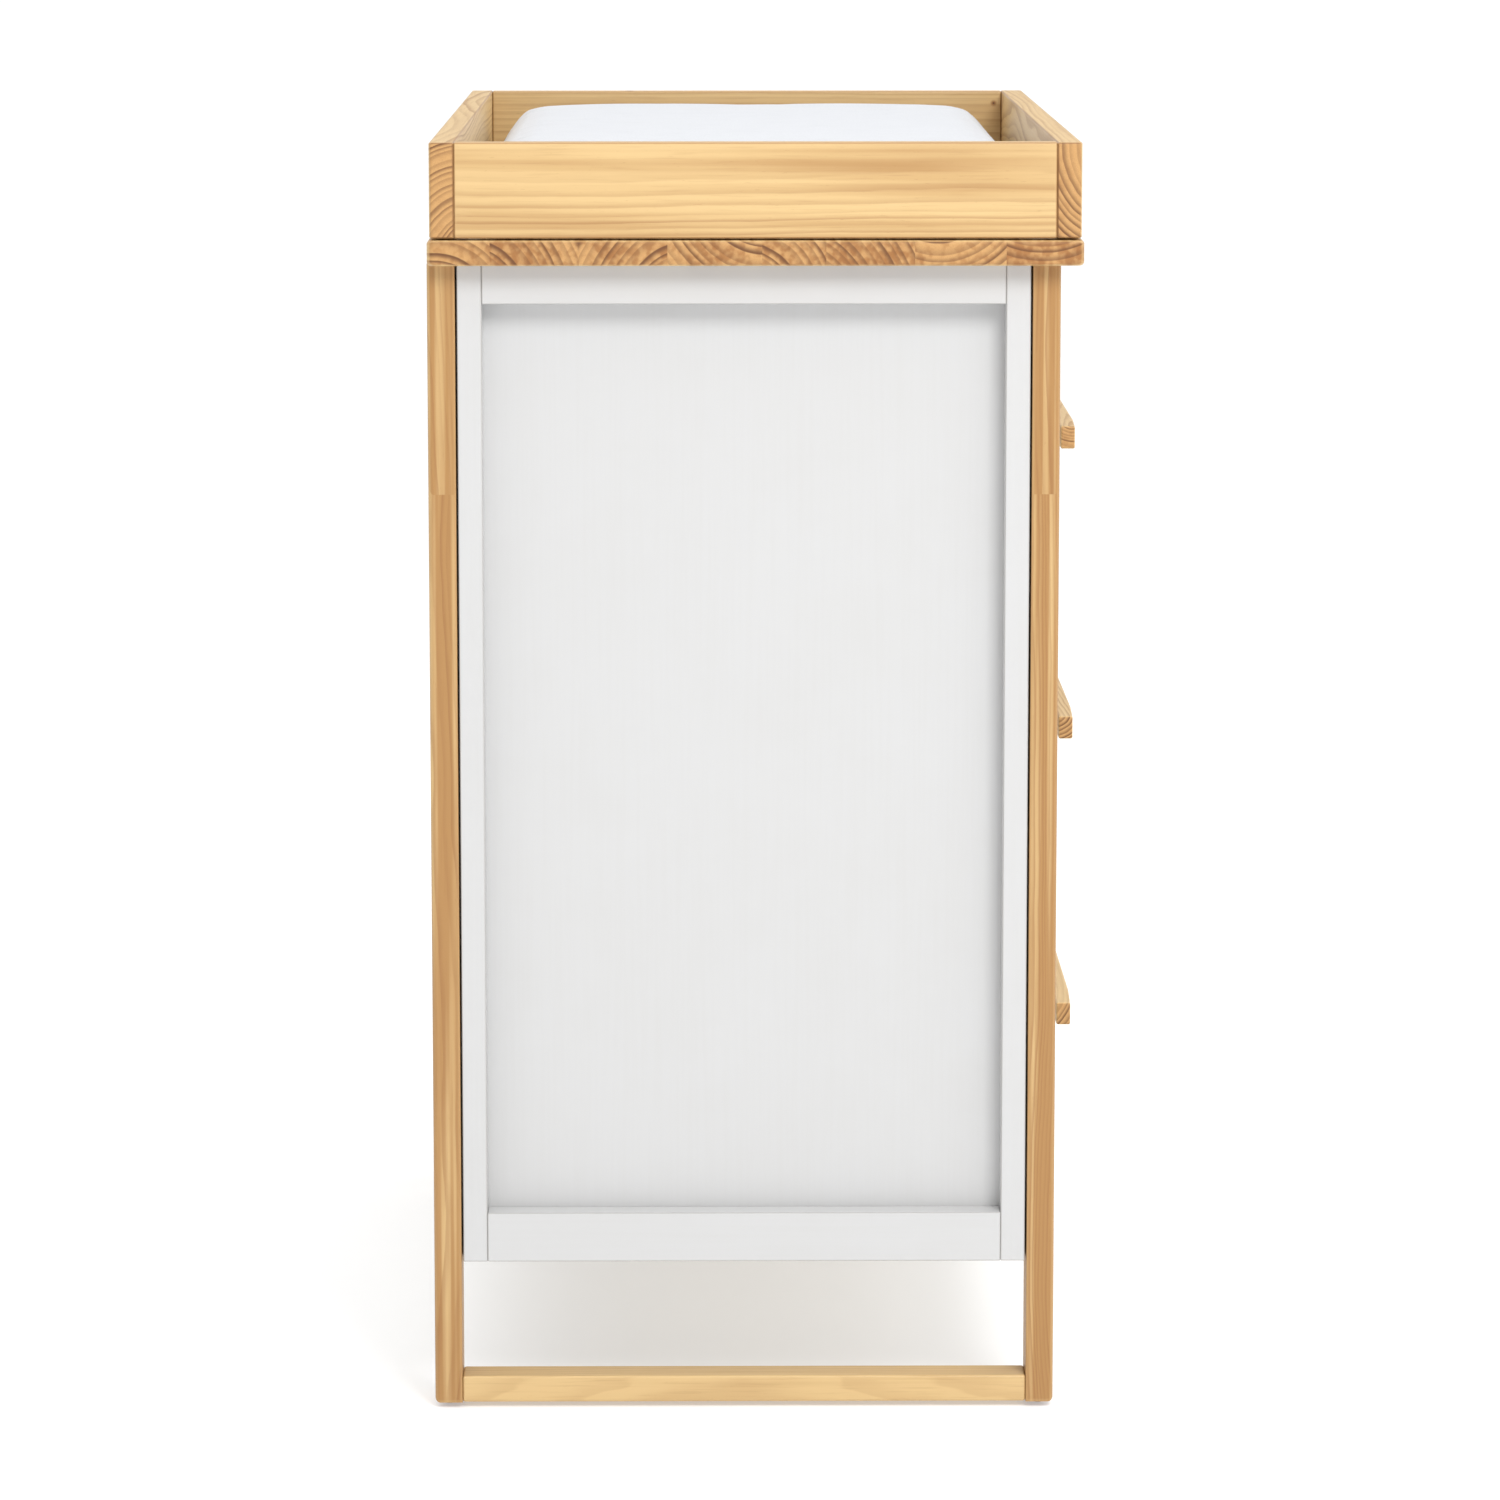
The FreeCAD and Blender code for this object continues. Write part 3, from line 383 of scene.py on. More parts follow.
def opaque(colour):
    """A plain colour with its alpha, or a value as it is."""
    return colour if isinstance(colour, Value) else (*colour, 1)


def dress(node, finish):
    """Give a carried-over piece its finish."""
    piece = frame["nodes"][node]
    piece.data.materials.clear()
    piece.data.materials.append(finish.material)


def along_grain(place, along):
    """A place's numbers along the grain, across it and up."""
    return [place[axis] for axis in AXES[along]]


def settings():
    return bpy.context.scene.changing_table


# ---------------------------------------------------------------- pine

# A finger joint's pitch and length, and how far apart two glued pieces lay in the log.
FINGER_PITCH = 4.0
FINGER_LENGTH = 11.0
STAVE_SHIFT = 977.0

# Glued staves of the top board: where each starts, its pith from the board's middle, its tone
# and the axis that the staves follow each other along.
STAVES = (
    (-181.5, (-137, 55), -0.02, "y"),
    (-113.5, (-20, -50), 0.06, "y"),
    (-47.5, (11, -35), 0.0, "y"),
    (0.1, (-5, 45), 0.05, "y"),
    (70.5, (53, -40), -0.03, "y"),
    (136.5, (215, -35), 0.07, "y"),
    (202.5, (240, -45), 0.0, "y"),
)


def stepped(place, joints, levels):
    """A level that changes at each joint along a place."""
    total = levels[0]
    for number, joint in enumerate(joints):
        total = (place > joint) * (levels[number + 1] - levels[number]) + total
    return total


def glued(place, along, pith, tone, joints):
    """Pith across and up, tone and shift along the grain, of a board glued from several pieces."""
    joint_axis = joints[0][3]
    spot = place["xyz".index(joint_axis)]
    if joint_axis == along:
        across = along_grain(place, along)[1]
        zigzag = across.maths("PINGPONG", FINGER_PITCH) / FINGER_PITCH - 0.5
        spot = spot + zigzag * FINGER_LENGTH
    starts = [joint[0] for joint in joints]
    piths = [pith] + [joint[1] for joint in joints]
    tones = [tone] + [joint[2] for joint in joints]
    shifts = [STAVE_SHIFT * number for number in range(len(piths))]
    levels = ([item[0] for item in piths], [item[1] for item in piths], tones, shifts)
    return [stepped(spot, starts, level) for level in levels]


def growth_rings(finish, spot, centre, pith, pitch, seed, wander, ripples):
    """How many growth rings a place is from the pith, which strays along the board."""
    _, across, up = spot
    drift = finish.parts(finish.texture(spot, (420, 150, 150), 1, seed, "Color"))
    ripple = finish.texture(spot, (85, 20, 20), 2, seed) - 0.5
    ring_across = across - centre[1] - pith[0] + (drift[0] - 0.5) * wander
    ring_up = up - centre[2] - pith[1] + (drift[1] - 0.5) * wander
    radius = (ring_across ** 2 + ring_up ** 2) ** 0.5 + ripple * ripples
    spacing = finish.noise(finish.vector(radius / 17, seed, 0), 1)
    return (radius + spacing * 13) / pitch


def pine(name, along, box, pith, pitch, seed, tone=0.0, contrast=1.0, joints=(), knots=(),
         wander=46, ripples=4.5, bands=0.42, seam_shade_box=None):
    """Solid pine: growth rings round a pith line beside the board, and end grain where it is sawn.

    pith is where the pith runs, in millimetres from the board's middle along the two other axes.
    joints are places where another piece of wood is glued on, each with its own pith and tone.
    wander is how far the pith strays, ripples how far the rings waver, bands how strong the
    long warm bands are, and the seam box, if given, gets painted shade along its edges: dark
    lines for the shade in the joints.
    """
    wood = settings().pine
    pale, line, end_line = (tuple(colour) for colour in (wood.pale, wood.line, wood.end_line))
    finish = Finish(name)
    place = finish.place()
    length, across, up = along_grain(place, along)
    centre = along_grain((box[0] + box[1]) / (2 * MM), along)
    if joints:
        *pith, tone, shift = glued(place, along, pith, tone, joints)
        length = length + shift
    spot = (length, across, up)
    end = finish.facing(along).step(0.6, 0.9)
    side = 1 - end

    rings = growth_rings(finish, spot, centre, pith, pitch, seed, wander, ripples)
    number = rings.floor()
    phase = rings - number
    weight = finish.chance(number + seed) * 0.75 + 0.25
    late = phase.step(0.05, 0.84) ** (2.2 - end * 0.9) * (1 - phase.step(0.88, 0.99)) * weight
    fibre = finish.texture(spot, (45, 1.5, 1.5), 4, seed)
    fleck = finish.texture(spot, (7, 0.55, 0.55), 1).step(0.72, 0.80)
    pores = finish.texture(spot, (9, 0.5, 0.5), 2)
    patch = finish.texture(spot, (330, 26, 26), 2, seed)
    streak = finish.texture(spot, (600, 5.5, 5.5), 1, seed).step(0.32, 0.68)
    warmth = (patch * 0.7 + streak * bands + tone + (0.25 - bands / 2)).step(0.40, 0.95)
    rim = finish.edges(place, box, 3)

    grain = finish.mix(line, end_line, end)
    colour = finish.mix(pale, tuple(wood.honey), warmth)
    colour = finish.mix(colour, wood.end_tint, end, "MULTIPLY")
    colour = finish.mix(colour, grain, late * (side * 0.62 + end * 0.95) * contrast)
    colour = finish.mix(colour, grain, (fibre.step(0.5, 0.78) * 0.20 + fleck * 0.30) * side)
    colour = finish.mix(colour, grain, pores.step(0.45, 0.75) * end * 0.22)
    colour = finish.mix(colour, pale, rim * side * 0.22)
    # Painted shade: the late wood's colour laid along the seam box's edges, for the shade in the
    # joints between the boards.
    if seam_shade_box:
        colour = finish.mix(colour, grain, finish.edges(place, seam_shade_box, 1.6) * 0.75)
    for knot, size in knots:
        gap = finish.node("ShaderNodeVectorMath", {"operation": "DISTANCE"},
                          (finish.vector(*place), knot), "Value")
        colour = finish.mix(colour, grain, 1 - gap.step(size, size * 4))
        colour = finish.mix(colour, tuple(wood.knot), 1 - gap.step(size * 0.6, size * 1.1))
    rough = fibre * 0.14 + late * 0.08 + end * 0.16 - rim * 0.05 + (wood.roughness - 0.07)
    finish.bump(fibre * 0.5 + late * 0.3 + pores * end * 0.6, 0.16)
    finish.surface(Base_Color=colour, Roughness=rough, Coat_Weight=0.12, Coat_Roughness=0.3,
                   Specular_IOR_Level=0.4)
    return finish


class CHANGING_TABLE_OT_finish_pine(bpy.types.Operator):
    """Finish the posts, foot rails, top board, tray and handles in lacquered pine"""

    bl_idname = "changing_table.finish_pine"
    bl_label = "Finish the pine"

    def execute(self, context):
        # Each post: pith, ring pitch, seed, tone, and the finger joint to its upper piece.
        posts = {
            "post_front_left": ((-30, 46), 3.6, 3.1, 0.25, (707, (24, -52), 0.34, "z")),
            "post_rear_left": ((22, -44), 3.9, 8.4, 0.22, (707, (-34, 40), 0.33, "z")),
            "post_front_right": ((-20, 50), 4.2, 12.6, 0.16, (420, (32, 38), 0.24, "z")),
            "post_rear_right": ((36, -40), 3.4, 17.3, 0.12, (560, (-22, -50), 0.22, "z")),
        }
        for node, (pith, pitch, seed, tone, joint) in posts.items():
            dress(node, pine(f"pine_{node}", "z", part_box(node), pith, pitch, seed, tone,
                             contrast=0.9, joints=(joint,)))
        for number, side in enumerate(SIDES):
            node = f"foot_rail_{side}"
            dress(node, pine(f"pine_{node}", "y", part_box(node), (48, 6), 3.4, 21.7 + 5.3 * number,
                             -0.25, contrast=0.8, bands=0.2))
        dress("top_board", pine("pine_top_board", "x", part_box("top_board"), (-213, 70), 5.6, 31.9,
                                0.12, joints=STAVES, wander=10, ripples=1.2, bands=0.3))
        # Each tray board: grain, pith, ring pitch, seed, tone, contrast, wander and pin knots.
        boards = {
            "tray_end_left": ("y", (62, 26), 3.2, 42.0, -0.03, 0.85, 9, ()),
            "tray_end_right": ("y", (-58, -30), 3.6, 47.7, -0.16, 0.6, 14,
                               (((419.5, -212, 958), 0.9), ((426, 108, 968), 1.6))),
            "tray_board_front": ("x", (-46, 34), 4.6, 53.2, -0.14, 1.0, 30, ()),
            "tray_board_rear": ("x", (-40, -62), 4.2, 58.8, -0.20, 1.0, 30, ()),
        }
        for node, (along, pith, pitch, seed, tone, contrast, wander, knots) in boards.items():
            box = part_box(node)
            dress(node, pine(f"pine_{node}", along, box, pith, pitch, seed, tone, contrast,
                             knots=knots, wander=wander, ripples=2, bands=0.14, seam_shade_box=box))
        for number, level in enumerate(LEVELS):
            node = f"handle_{level}"
            dress(node, pine(f"pine_{node}", "x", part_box(node), (14 - 9 * number, 16), 2.9,
                             63.1 + 4.9 * number, -0.28))
        return {"FINISHED"}


# ---------------------------------------------------------------- white paint

def white_paint(name, along, box=None):
    """Satin paint over wood, whose grain shows faintly along the piece."""
    paint = settings().paint
    finish = Finish(name)
    place = finish.place()
    spot = along_grain(place, along)
    grain = finish.texture(spot, (120, 2.6, 2.6), 3)
    mottle = finish.texture(spot, (60, 60, 60), 3)
    peel = finish.texture(spot, (1.8, 1.8, 1.8), 2)
    shade = grain.step(0.35, 0.75) * 0.10 + mottle.step(0.3, 0.8) * 0.12
    if box:
        shade = shade + finish.edges(place, box, 2) * 0.22
    colour = finish.mix(tuple(paint.white), tuple(paint.worn), shade)
    # Painted shade: a thin dark line of the joint colour along every edge of the piece, for the
    # shade in the joints, besides dust and thin paint.
    if box:
        colour = finish.mix(colour, tuple(paint.joint), finish.edges(place, box, 1.0) * 0.6)
    finish.bump(grain * 0.6 + peel * 0.4, 0.05)
    finish.surface(Base_Color=colour, Roughness=paint.roughness + mottle * 0.10 - 0.05,
                   Coat_Weight=0.08, Coat_Roughness=0.2, Specular_IOR_Level=0.45)
    return finish


class CHANGING_TABLE_OT_finish_paint(bpy.types.Operator):
    """Finish the side frames, the drawer fronts and the front and rear rails in white paint"""

    bl_idname = "changing_table.finish_paint"
    bl_label = "Finish the white paint"

    def execute(self, context):
        nodes = {f"stile_{end}_{side}": "z" for end in ENDS for side in SIDES}
        nodes.update({f"side_{edge}_rail_{side}": "y" for edge in EDGES for side in SIDES})
        nodes.update({f"side_panel_{side}": "z" for side in SIDES})
        nodes.update({f"drawer_front_{level}": "x" for level in LEVELS})
        nodes.update({f"{end}_{edge}_rail": "x" for end in ENDS for edge in EDGES})
        for node, along in nodes.items():
            dress(node, white_paint(f"paint_{node}", along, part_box(node)))
        return {"FINISHED"}


# ---------------------------------------------------------------- inside and back

def inner_board(name, along, pale, line, pitch, seed):
    """Plain planed wood with a thin clear coat, for pieces inside the case."""
    finish = Finish(name)
    spot = along_grain(finish.place(), along)
    _, across, up = spot
    warp = finish.texture(spot, (240, 40, 40), 2, seed)
    rings = (across * 0.35 + up + warp * 34) / pitch
    phase = rings - rings.floor()
    late = phase.step(0.1, 0.85) * (1 - phase.step(0.9, 1.0))
    fibre = finish.texture(spot, (30, 1.2, 1.2), 3, seed)
    end = finish.facing(along).step(0.6, 0.9)
    colour = finish.mix(pale, line, late * 0.42 + fibre.step(0.45, 0.8) * 0.25)
    colour = finish.mix(colour, line, end * 0.35)
    finish.bump(fibre * 0.7 + late * 0.3, 0.12)
    finish.surface(Base_Color=colour, Roughness=fibre * 0.15 + 0.48, Specular_IOR_Level=0.35)
    return finish


def back_board(name):
    """White-faced hardboard with a fine pressed texture."""
    paint = settings().paint
    finish = Finish(name)
    place = finish.place()
    peel = finish.texture(place, (1.1, 1.1, 1.1), 3)
    mottle = finish.texture(place, (90, 90, 90), 2)
    colour = finish.mix(tuple(paint.white), tuple(paint.worn), mottle.step(0.3, 0.8) * 0.4 + 0.2)
    finish.bump(peel, 0.04)
    finish.surface(Base_Color=colour, Roughness=peel * 0.1 + 0.5)
    return finish


class CHANGING_TABLE_OT_finish_inside(bpy.types.Operator):
    """Finish the drawer boxes, cleats, dividers and back"""

    bl_idname = "changing_table.finish_inside"
    bl_label = "Finish the inside"

    def execute(self, context):
        drawer_pale = (0.72, 0.54, 0.32)
        drawer_line = (0.50, 0.31, 0.15)
        inner_pale = (0.66, 0.45, 0.22)
        inner_line = (0.40, 0.21, 0.08)
        ply_pale = (0.82, 0.77, 0.68)
        ply_line = (0.70, 0.62, 0.50)
        sides = inner_board("drawer_side_board", "y", drawer_pale, drawer_line, 7.5, 3.3)
        backs = inner_board("drawer_back_board", "x", drawer_pale, drawer_line, 7.0, 9.1)
        bottoms = inner_board("drawer_bottom_ply", "x", ply_pale, ply_line, 13.0, 15.7)
        for level in LEVELS:
            dress(f"drawer_sides_{level}", sides)
            dress(f"drawer_back_{level}", backs)
            dress(f"drawer_bottom_{level}", bottoms)
        dividers = inner_board("divider_pine", "x", inner_pale, inner_line, 6.0, 21.4)
        dress("drawer_dividers", dividers)
        cleats = inner_board("cleat_pine", "y", inner_pale, inner_line, 5.5, 27.2)
        dress("runner_cleats", cleats)
        panels = back_board("back_hardboard")
        for side in SIDES:
            dress(f"back_panel_{side}", panels)
        dress("back_joint_strip", white_paint("paint_back_joint_strip", "z"))
        return {"FINISHED"}


# ---------------------------------------------------------------- metal, plastic and rubber

def plated_steel(name, colour, along):
    """Zinc-plated steel with fine drawing lines and a cloudy plating."""
    finish = Finish(name)
    spot = along_grain(finish.place(), along)
    drawn = finish.texture(spot, (35, 0.4, 0.4), 3)
    cloud = finish.texture(spot, (12, 12, 12), 3)
    darker = tuple(channel * 0.72 for channel in colour)
    shade = finish.mix(tuple(colour), darker, cloud.step(0.35, 0.75))
    finish.bump(drawn, 0.02)
    finish.surface(Base_Color=shade, Metallic=1.0, Roughness=drawn * 0.16 + cloud * 0.12 + 0.20)
    return finish


def cast_zinc(name, colour):
    """Die-cast zinc, grainy and dull."""
    finish = Finish(name)
    grains = finish.texture(finish.place(), (0.5, 0.5, 0.5), 3)
    darker = tuple(channel * 0.6 for channel in colour)
    finish.bump(grains, 0.06)
    finish.surface(Base_Color=finish.mix(tuple(colour), darker, grains.step(0.4, 0.7)),
                   Metallic=1.0, Roughness=grains * 0.2 + 0.38)
    return finish


def moulded(name, colour, roughness, speckle):
    """Moulded plastic or rubber, slightly scuffed."""
    finish = Finish(name)
    place = finish.place()
    texture = finish.texture(place, (0.6, 0.6, 0.6), 2)
    scuffs = finish.texture(place, (4, 4, 4), 4).step(0.55, 0.75)
    paler = tuple(min(1, channel * 1.8 + 0.02) for channel in colour)
    finish.bump(texture, 0.05)
    finish.surface(Base_Color=finish.mix(tuple(colour), paler, scuffs * speckle),
                   Roughness=texture * 0.12 + scuffs * 0.1 + roughness)
    return finish


class CHANGING_TABLE_OT_finish_hardware(bpy.types.Operator):
    """Finish the slides, cam locks, screws, glides and grips"""

    bl_idname = "changing_table.finish_hardware"
    bl_label = "Finish the hardware"

    def execute(self, context):
        hardware = settings().hardware
        channel = plated_steel("slide_channel_steel", hardware.steel, "y")
        rail = plated_steel("slide_rail_steel", hardware.steel, "y")
        cage = plated_steel("ball_cage_steel", [shade * 0.85 for shade in hardware.steel], "y")
        screw = plated_steel("screw_steel", hardware.steel, "y")
        dress("slide_channels", channel)
        for level in LEVELS:
            dress(f"slide_rails_{level}", rail)
            dress(f"ball_cages_{level}", cage)
            dress(f"handle_screws_{level}", screw)
        dress("cam_locks", cast_zinc("cam_zinc", hardware.zinc))
        dress("floor_glides", moulded("glide_plastic", hardware.glide, 0.42, 0.5))
        dress("tray_grips", moulded("grip_rubber", hardware.grip, 0.7, 0.3))
        return {"FINISHED"}


# ---------------------------------------------------------------- the changing pad

# How far the pad's underside starts above what it lies on.
PAD_LIFT = 0.5 * MM

# How far the seam pulls the cover in, and how far above and below it that reaches.
SEAM_DEPTH = 1.6 * MM
SEAM_REACH = 5 * MM

# The stuffing's simulation: how many frames it runs, and how stiff the cover is.
STUFFING_FRAMES = 20
COVER_CLOTH = {
    "quality": 4,
    "mass": 0.3,
    "tension_stiffness": 18,
    "compression_stiffness": 18,
    "bending_stiffness": 1.5,
    "use_pressure": True,
}

# How far the weave's wave turns in a millimetre: a thread every 1.2 mm.
THREAD_TURN = 5.2

# The piping follows the cover in steps of this length, and each corner in this many.
PIPING_STEP = 8 * MM
PIPING_CORNER_STEPS = 8


def pick_edges(piece, test):
    """Select the edges of a piece whose middle and direction pass a test, in edit mode."""
    mesh = piece.data
    for group in (mesh.polygons, mesh.edges, mesh.vertices):
        group.foreach_set("select", [False] * len(group))
    for edge in mesh.edges:
        first, second = (mesh.vertices[index].co for index in edge.vertices)
        edge.select = test((first + second) / 2, (second - first).normalized())
        for index in edge.vertices:
            mesh.vertices[index].select |= edge.select
    bpy.ops.object.mode_set(mode="EDIT")
    bpy.ops.mesh.select_mode(type="EDGE")


def bevel_edges(piece, test, radius, segments):
    """Round the edges of a piece that pass a test."""
    pick_edges(piece, test)
    bpy.ops.mesh.bevel(offset=radius, segments=segments, affect="EDGES")
    bpy.ops.object.mode_set(mode="OBJECT")


def alone(piece):
    """Make a piece the only selected and active one."""
    bpy.ops.object.select_all(action="DESELECT")
    piece.select_set(True)
    bpy.context.view_layer.objects.active = piece


def apply_modifier(piece, name, kind, **content):
    """Add a modifier with its settings and apply it at once."""
    modifier = piece.modifiers.new(name, kind)
    for key, setting in content.items():
        setattr(modifier, key, setting)
    bpy.ops.object.modifier_apply(modifier=name)


def pad_block(low, high, pad):
    """A block of even faces with rounded corners and shoulders."""
    size = high - low
    bpy.ops.mesh.primitive_cube_add(size=1, location=(low + high) / 2, scale=size)
    piece = bpy.context.object
    piece.name = "pad_cover"
    piece.data.name = "pad_cover"
    bpy.ops.object.transform_apply(location=True, rotation=True, scale=True)
    bevel_edges(piece, lambda middle, way: abs(way.z) > 0.9, pad.corner, 10)
    bevel_edges(piece, lambda middle, way: middle.z > high.z - MM and abs(way.z) < 0.1,
                pad.shoulder, 6)
    bevel_edges(piece, lambda middle, way: middle.z < low.z + MM and abs(way.z) < 0.1,
                pad.shoulder / 2, 4)
    apply_modifier(piece, "even faces", "REMESH", mode="VOXEL", voxel_size=pad.cell)
    return piece


def droop_corners(piece, low, high, pad):
    """Let the top fall away towards the corners, in a soft crown."""
    reach = 3 * pad.corner
    middle = (low + high) / 2
    half = (high - low) / 2
    for vertex in piece.data.vertices:
        spot = vertex.co
        along = max(0, abs(spot.x - middle.x) - half.x + reach) / reach
        across = max(0, abs(spot.y - middle.y) - half.y + reach) / reach
        lift = max(0, (spot.z - low.z) / (high.z - low.z))
        edge = min(1, math.hypot(along, across) ** 3)
        spot.z -= pad.droop * edge * lift * (0.35 + 0.65 * min(along, 1) * min(across, 1) / 0.6)
        spot.z -= 0.6 * MM * lift * noise.noise(spot * 11)


def swell(piece, pad):
    """Blow the cover up over its stuffing, no further than the pad allows."""
    rest = [vertex.co.copy() for vertex in piece.data.vertices]
    cloth = piece.modifiers.new("stuffing", "CLOTH")
    for name, setting in COVER_CLOTH.items():
        setattr(cloth.settings, name, setting)
    cloth.settings.uniform_pressure_force = pad.pressure
    cloth.settings.effector_weights.gravity = 0
    for number in range(1, STUFFING_FRAMES + 1):
        bpy.context.scene.frame_set(number)
    bpy.ops.object.modifier_apply(modifier="stuffing")
    bpy.context.scene.frame_set(1)
    for vertex, start in zip(piece.data.vertices, rest):
        move = vertex.co - start
        if move.length > 0:
            move *= pad.swell * math.tanh(move.length / pad.swell) / move.length
        vertex.co = start + move


def press_seam(piece, low, pad):
    """Pull the cover in along the seam and flatten the pad's underside."""
    level = low.z + pad.seam
    middle = (CAD_PAD[0] + CAD_PAD[1]) / 2
    for vertex in piece.data.vertices:
        spot = vertex.co
        outwards = Vector((spot.x - middle.x, spot.y - middle.y, 0))
        near = max(0, 1 - abs(spot.z - level) / SEAM_REACH)
        spot -= outwards.normalized() * SEAM_DEPTH * near * near
        spot.z = max(spot.z, CAD_PAD[0].z)


def cover_cloth(name, piping):
    """Smooth woven cover: fine weave, faint puckers and a soft sheen."""
    pad = settings().pad
    finish = Finish(name)
    across, back, up = finish.place()
    warp, weft, rise = ((spot * THREAD_TURN).maths("SINE") * 0.5 + 0.5
                        for spot in (across, back, up))
    weave = warp * weft + rise * (1 - warp * weft) * 0.4
    slub = finish.texture((across, back, up), (14, 1.2, 1.2), 3)
    pucker = finish.texture((across, back, up), (38, 30, 30), 3)
    darker = tuple(channel * 0.88 for channel in pad.cover)
    shade = weave * 0.16 + slub.step(0.4, 0.8) * 0.25 + pucker.step(0.35, 0.8) * 0.22
    finish.bump(weave * 0.12 + slub * 0.08 + pucker * (0.2 if piping else 0.8), 0.5)
    finish.surface(Base_Color=finish.mix(tuple(pad.cover), darker, shade),
                   Roughness=slub * 0.12 + 0.62, Sheen_Weight=0.25, Sheen_Roughness=0.4,
                   Specular_IOR_Level=0.3)
    return finish


class CHANGING_TABLE_OT_make_pad(bpy.types.Operator):
    """Make the changing pad: a crowned, stuffed cover with a seam round its sides"""

    bl_idname = "changing_table.make_pad"
    bl_label = "Make the pad"

    def execute(self, context):
        pad = settings().pad
        # The pad nearly fills the tray from front to rear, and the stuffing lifts its top by
        # about half of what it may.
        room = Vector((pad.room, pad.room * 0.2, 0))
        low = CAD_PAD[0] + room + Vector((0, 0, PAD_LIFT))
        high = CAD_PAD[1] - room + Vector((0, 0, pad.crown - pad.swell / 2))
        bpy.ops.object.select_all(action="DESELECT")
        piece = pad_block(low, high, pad)
        alone(piece)
        droop_corners(piece, low, high, pad)
        swell(piece, pad)
        apply_modifier(piece, "fine faces", "SUBSURF", levels=1, render_levels=1)
        press_seam(piece, low, pad)
        bpy.ops.object.shade_smooth()
        piece.data.materials.append(cover_cloth("pad_cloth", piping=False).material)
        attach(piece, "pad")
        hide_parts("changing_pad")
        return {"FINISHED"}


def seam_path(piece, level, radius):
    """Points round the pad at the seam's height, just outside the cover."""
    tree = BVHTree.FromObject(piece, bpy.context.evaluated_depsgraph_get())
    low, high = CAD_PAD
    middle = (low + high) / 2
    half = (high - low) / 2
    corner = settings().pad.corner
    spots = []
    for way in ((1, 0, 0), (0, 1, 0), (-1, 0, 0), (0, -1, 0)):
        along = Vector(way)
        out = Vector((along.y, -along.x, 0))
        reach = abs(half.dot(along))
        stand = abs(half.dot(out))
        steps = max(2, round((2 * reach - 2 * corner) / PIPING_STEP))
        for number in range(steps):
            share = number / steps
            run = -(reach - corner) + share * 2 * (reach - corner)
            spots.append((middle + along * run + out * stand, out))
        centre = middle + along * (reach - corner) + out * (stand - corner)
        for number in range(PIPING_CORNER_STEPS):
            angle = math.radians(90) * number / PIPING_CORNER_STEPS
            way = out * math.cos(angle) + along * math.sin(angle)
            spots.append((centre + way * corner, way))
    points = []
    for spot, way in spots:
        start = Vector((spot.x, spot.y, level)) + way * 20 * MM
        hit = tree.ray_cast(start, -way)[0]
        if hit is None:
            raise RuntimeError("the piping finds no cover to lie on")
        points.append(hit + way * radius * 0.35)
    return points


class CHANGING_TABLE_OT_make_piping(bpy.types.Operator):
    """Lay the piping in the pad's seam"""

    bl_idname = "changing_table.make_piping"
    bl_label = "Make the piping"

    def execute(self, context):
        pad = settings().pad
        level = CAD_PAD[0].z + PAD_LIFT + pad.seam
        points = seam_path(bpy.data.objects["pad_cover"], level, pad.piping)
        curve = bpy.data.curves.new("pad_piping", "CURVE")
        curve.dimensions = "3D"
        curve.bevel_depth = pad.piping
        curve.bevel_resolution = 3
        curve.use_fill_caps = False
        line = curve.splines.new("POLY")
        line.points.add(len(points) - 1)
        for point, spot in zip(line.points, points):
            point.co = (*spot, 1)
        line.use_cyclic_u = True
        piece = bpy.data.objects.new("pad_piping", curve)
        context.scene.collection.objects.link(piece)
        alone(piece)
        bpy.ops.object.convert(target="MESH")
        piece = context.object
        bpy.ops.object.shade_smooth()
        piece.data.materials.append(cover_cloth("piping_cloth", piping=True).material)
        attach(piece, "pad")
        return {"FINISHED"}


# ---------------------------------------------------------------- stage

FLOOR_RADIUS = 90

# Each soft light: its place, what it is turned to and its width.
KEY_LIGHT = ((-3.04, -1.09, 2.79), (-0.44, 0, 0.5), 1.3)
FRONT_LIGHT = ((1.6, -3.6, 2.4), (0, 0, 0.5), 2.0)
REAR_LIGHT = ((2.4, 2.6, 2.6), (0, 0, 0.5), 2.4)


def floor_finish():
    """Plain pale floor, matt, with a trace of mottle."""
    stage = settings().stage
    finish = Finish("pale_floor")
    mottle = finish.texture(finish.place(), (400, 400, 400), 2)
    darker = tuple(channel * 0.995 for channel in stage.floor)
    finish.surface(Base_Color=finish.mix(tuple(stage.floor), darker, mottle), Roughness=0.9,
                   Specular_IOR_Level=0.1, Emission_Color=(1, 1, 1, 1),
                   Emission_Strength=stage.glow)
    return finish


def soft_light(name, place, target, size, power):
    """A square soft light at a place, turned to a target."""
    bpy.ops.object.light_add(type="AREA", location=place)
    light = bpy.context.object
    light.name = name
    light.data.shape = "SQUARE"
    light.data.size = size
    light.data.energy = power
    light.rotation_mode = "QUATERNION"
    light.rotation_quaternion = (Vector(target) - Vector(place)).to_track_quat("-Z", "Y")


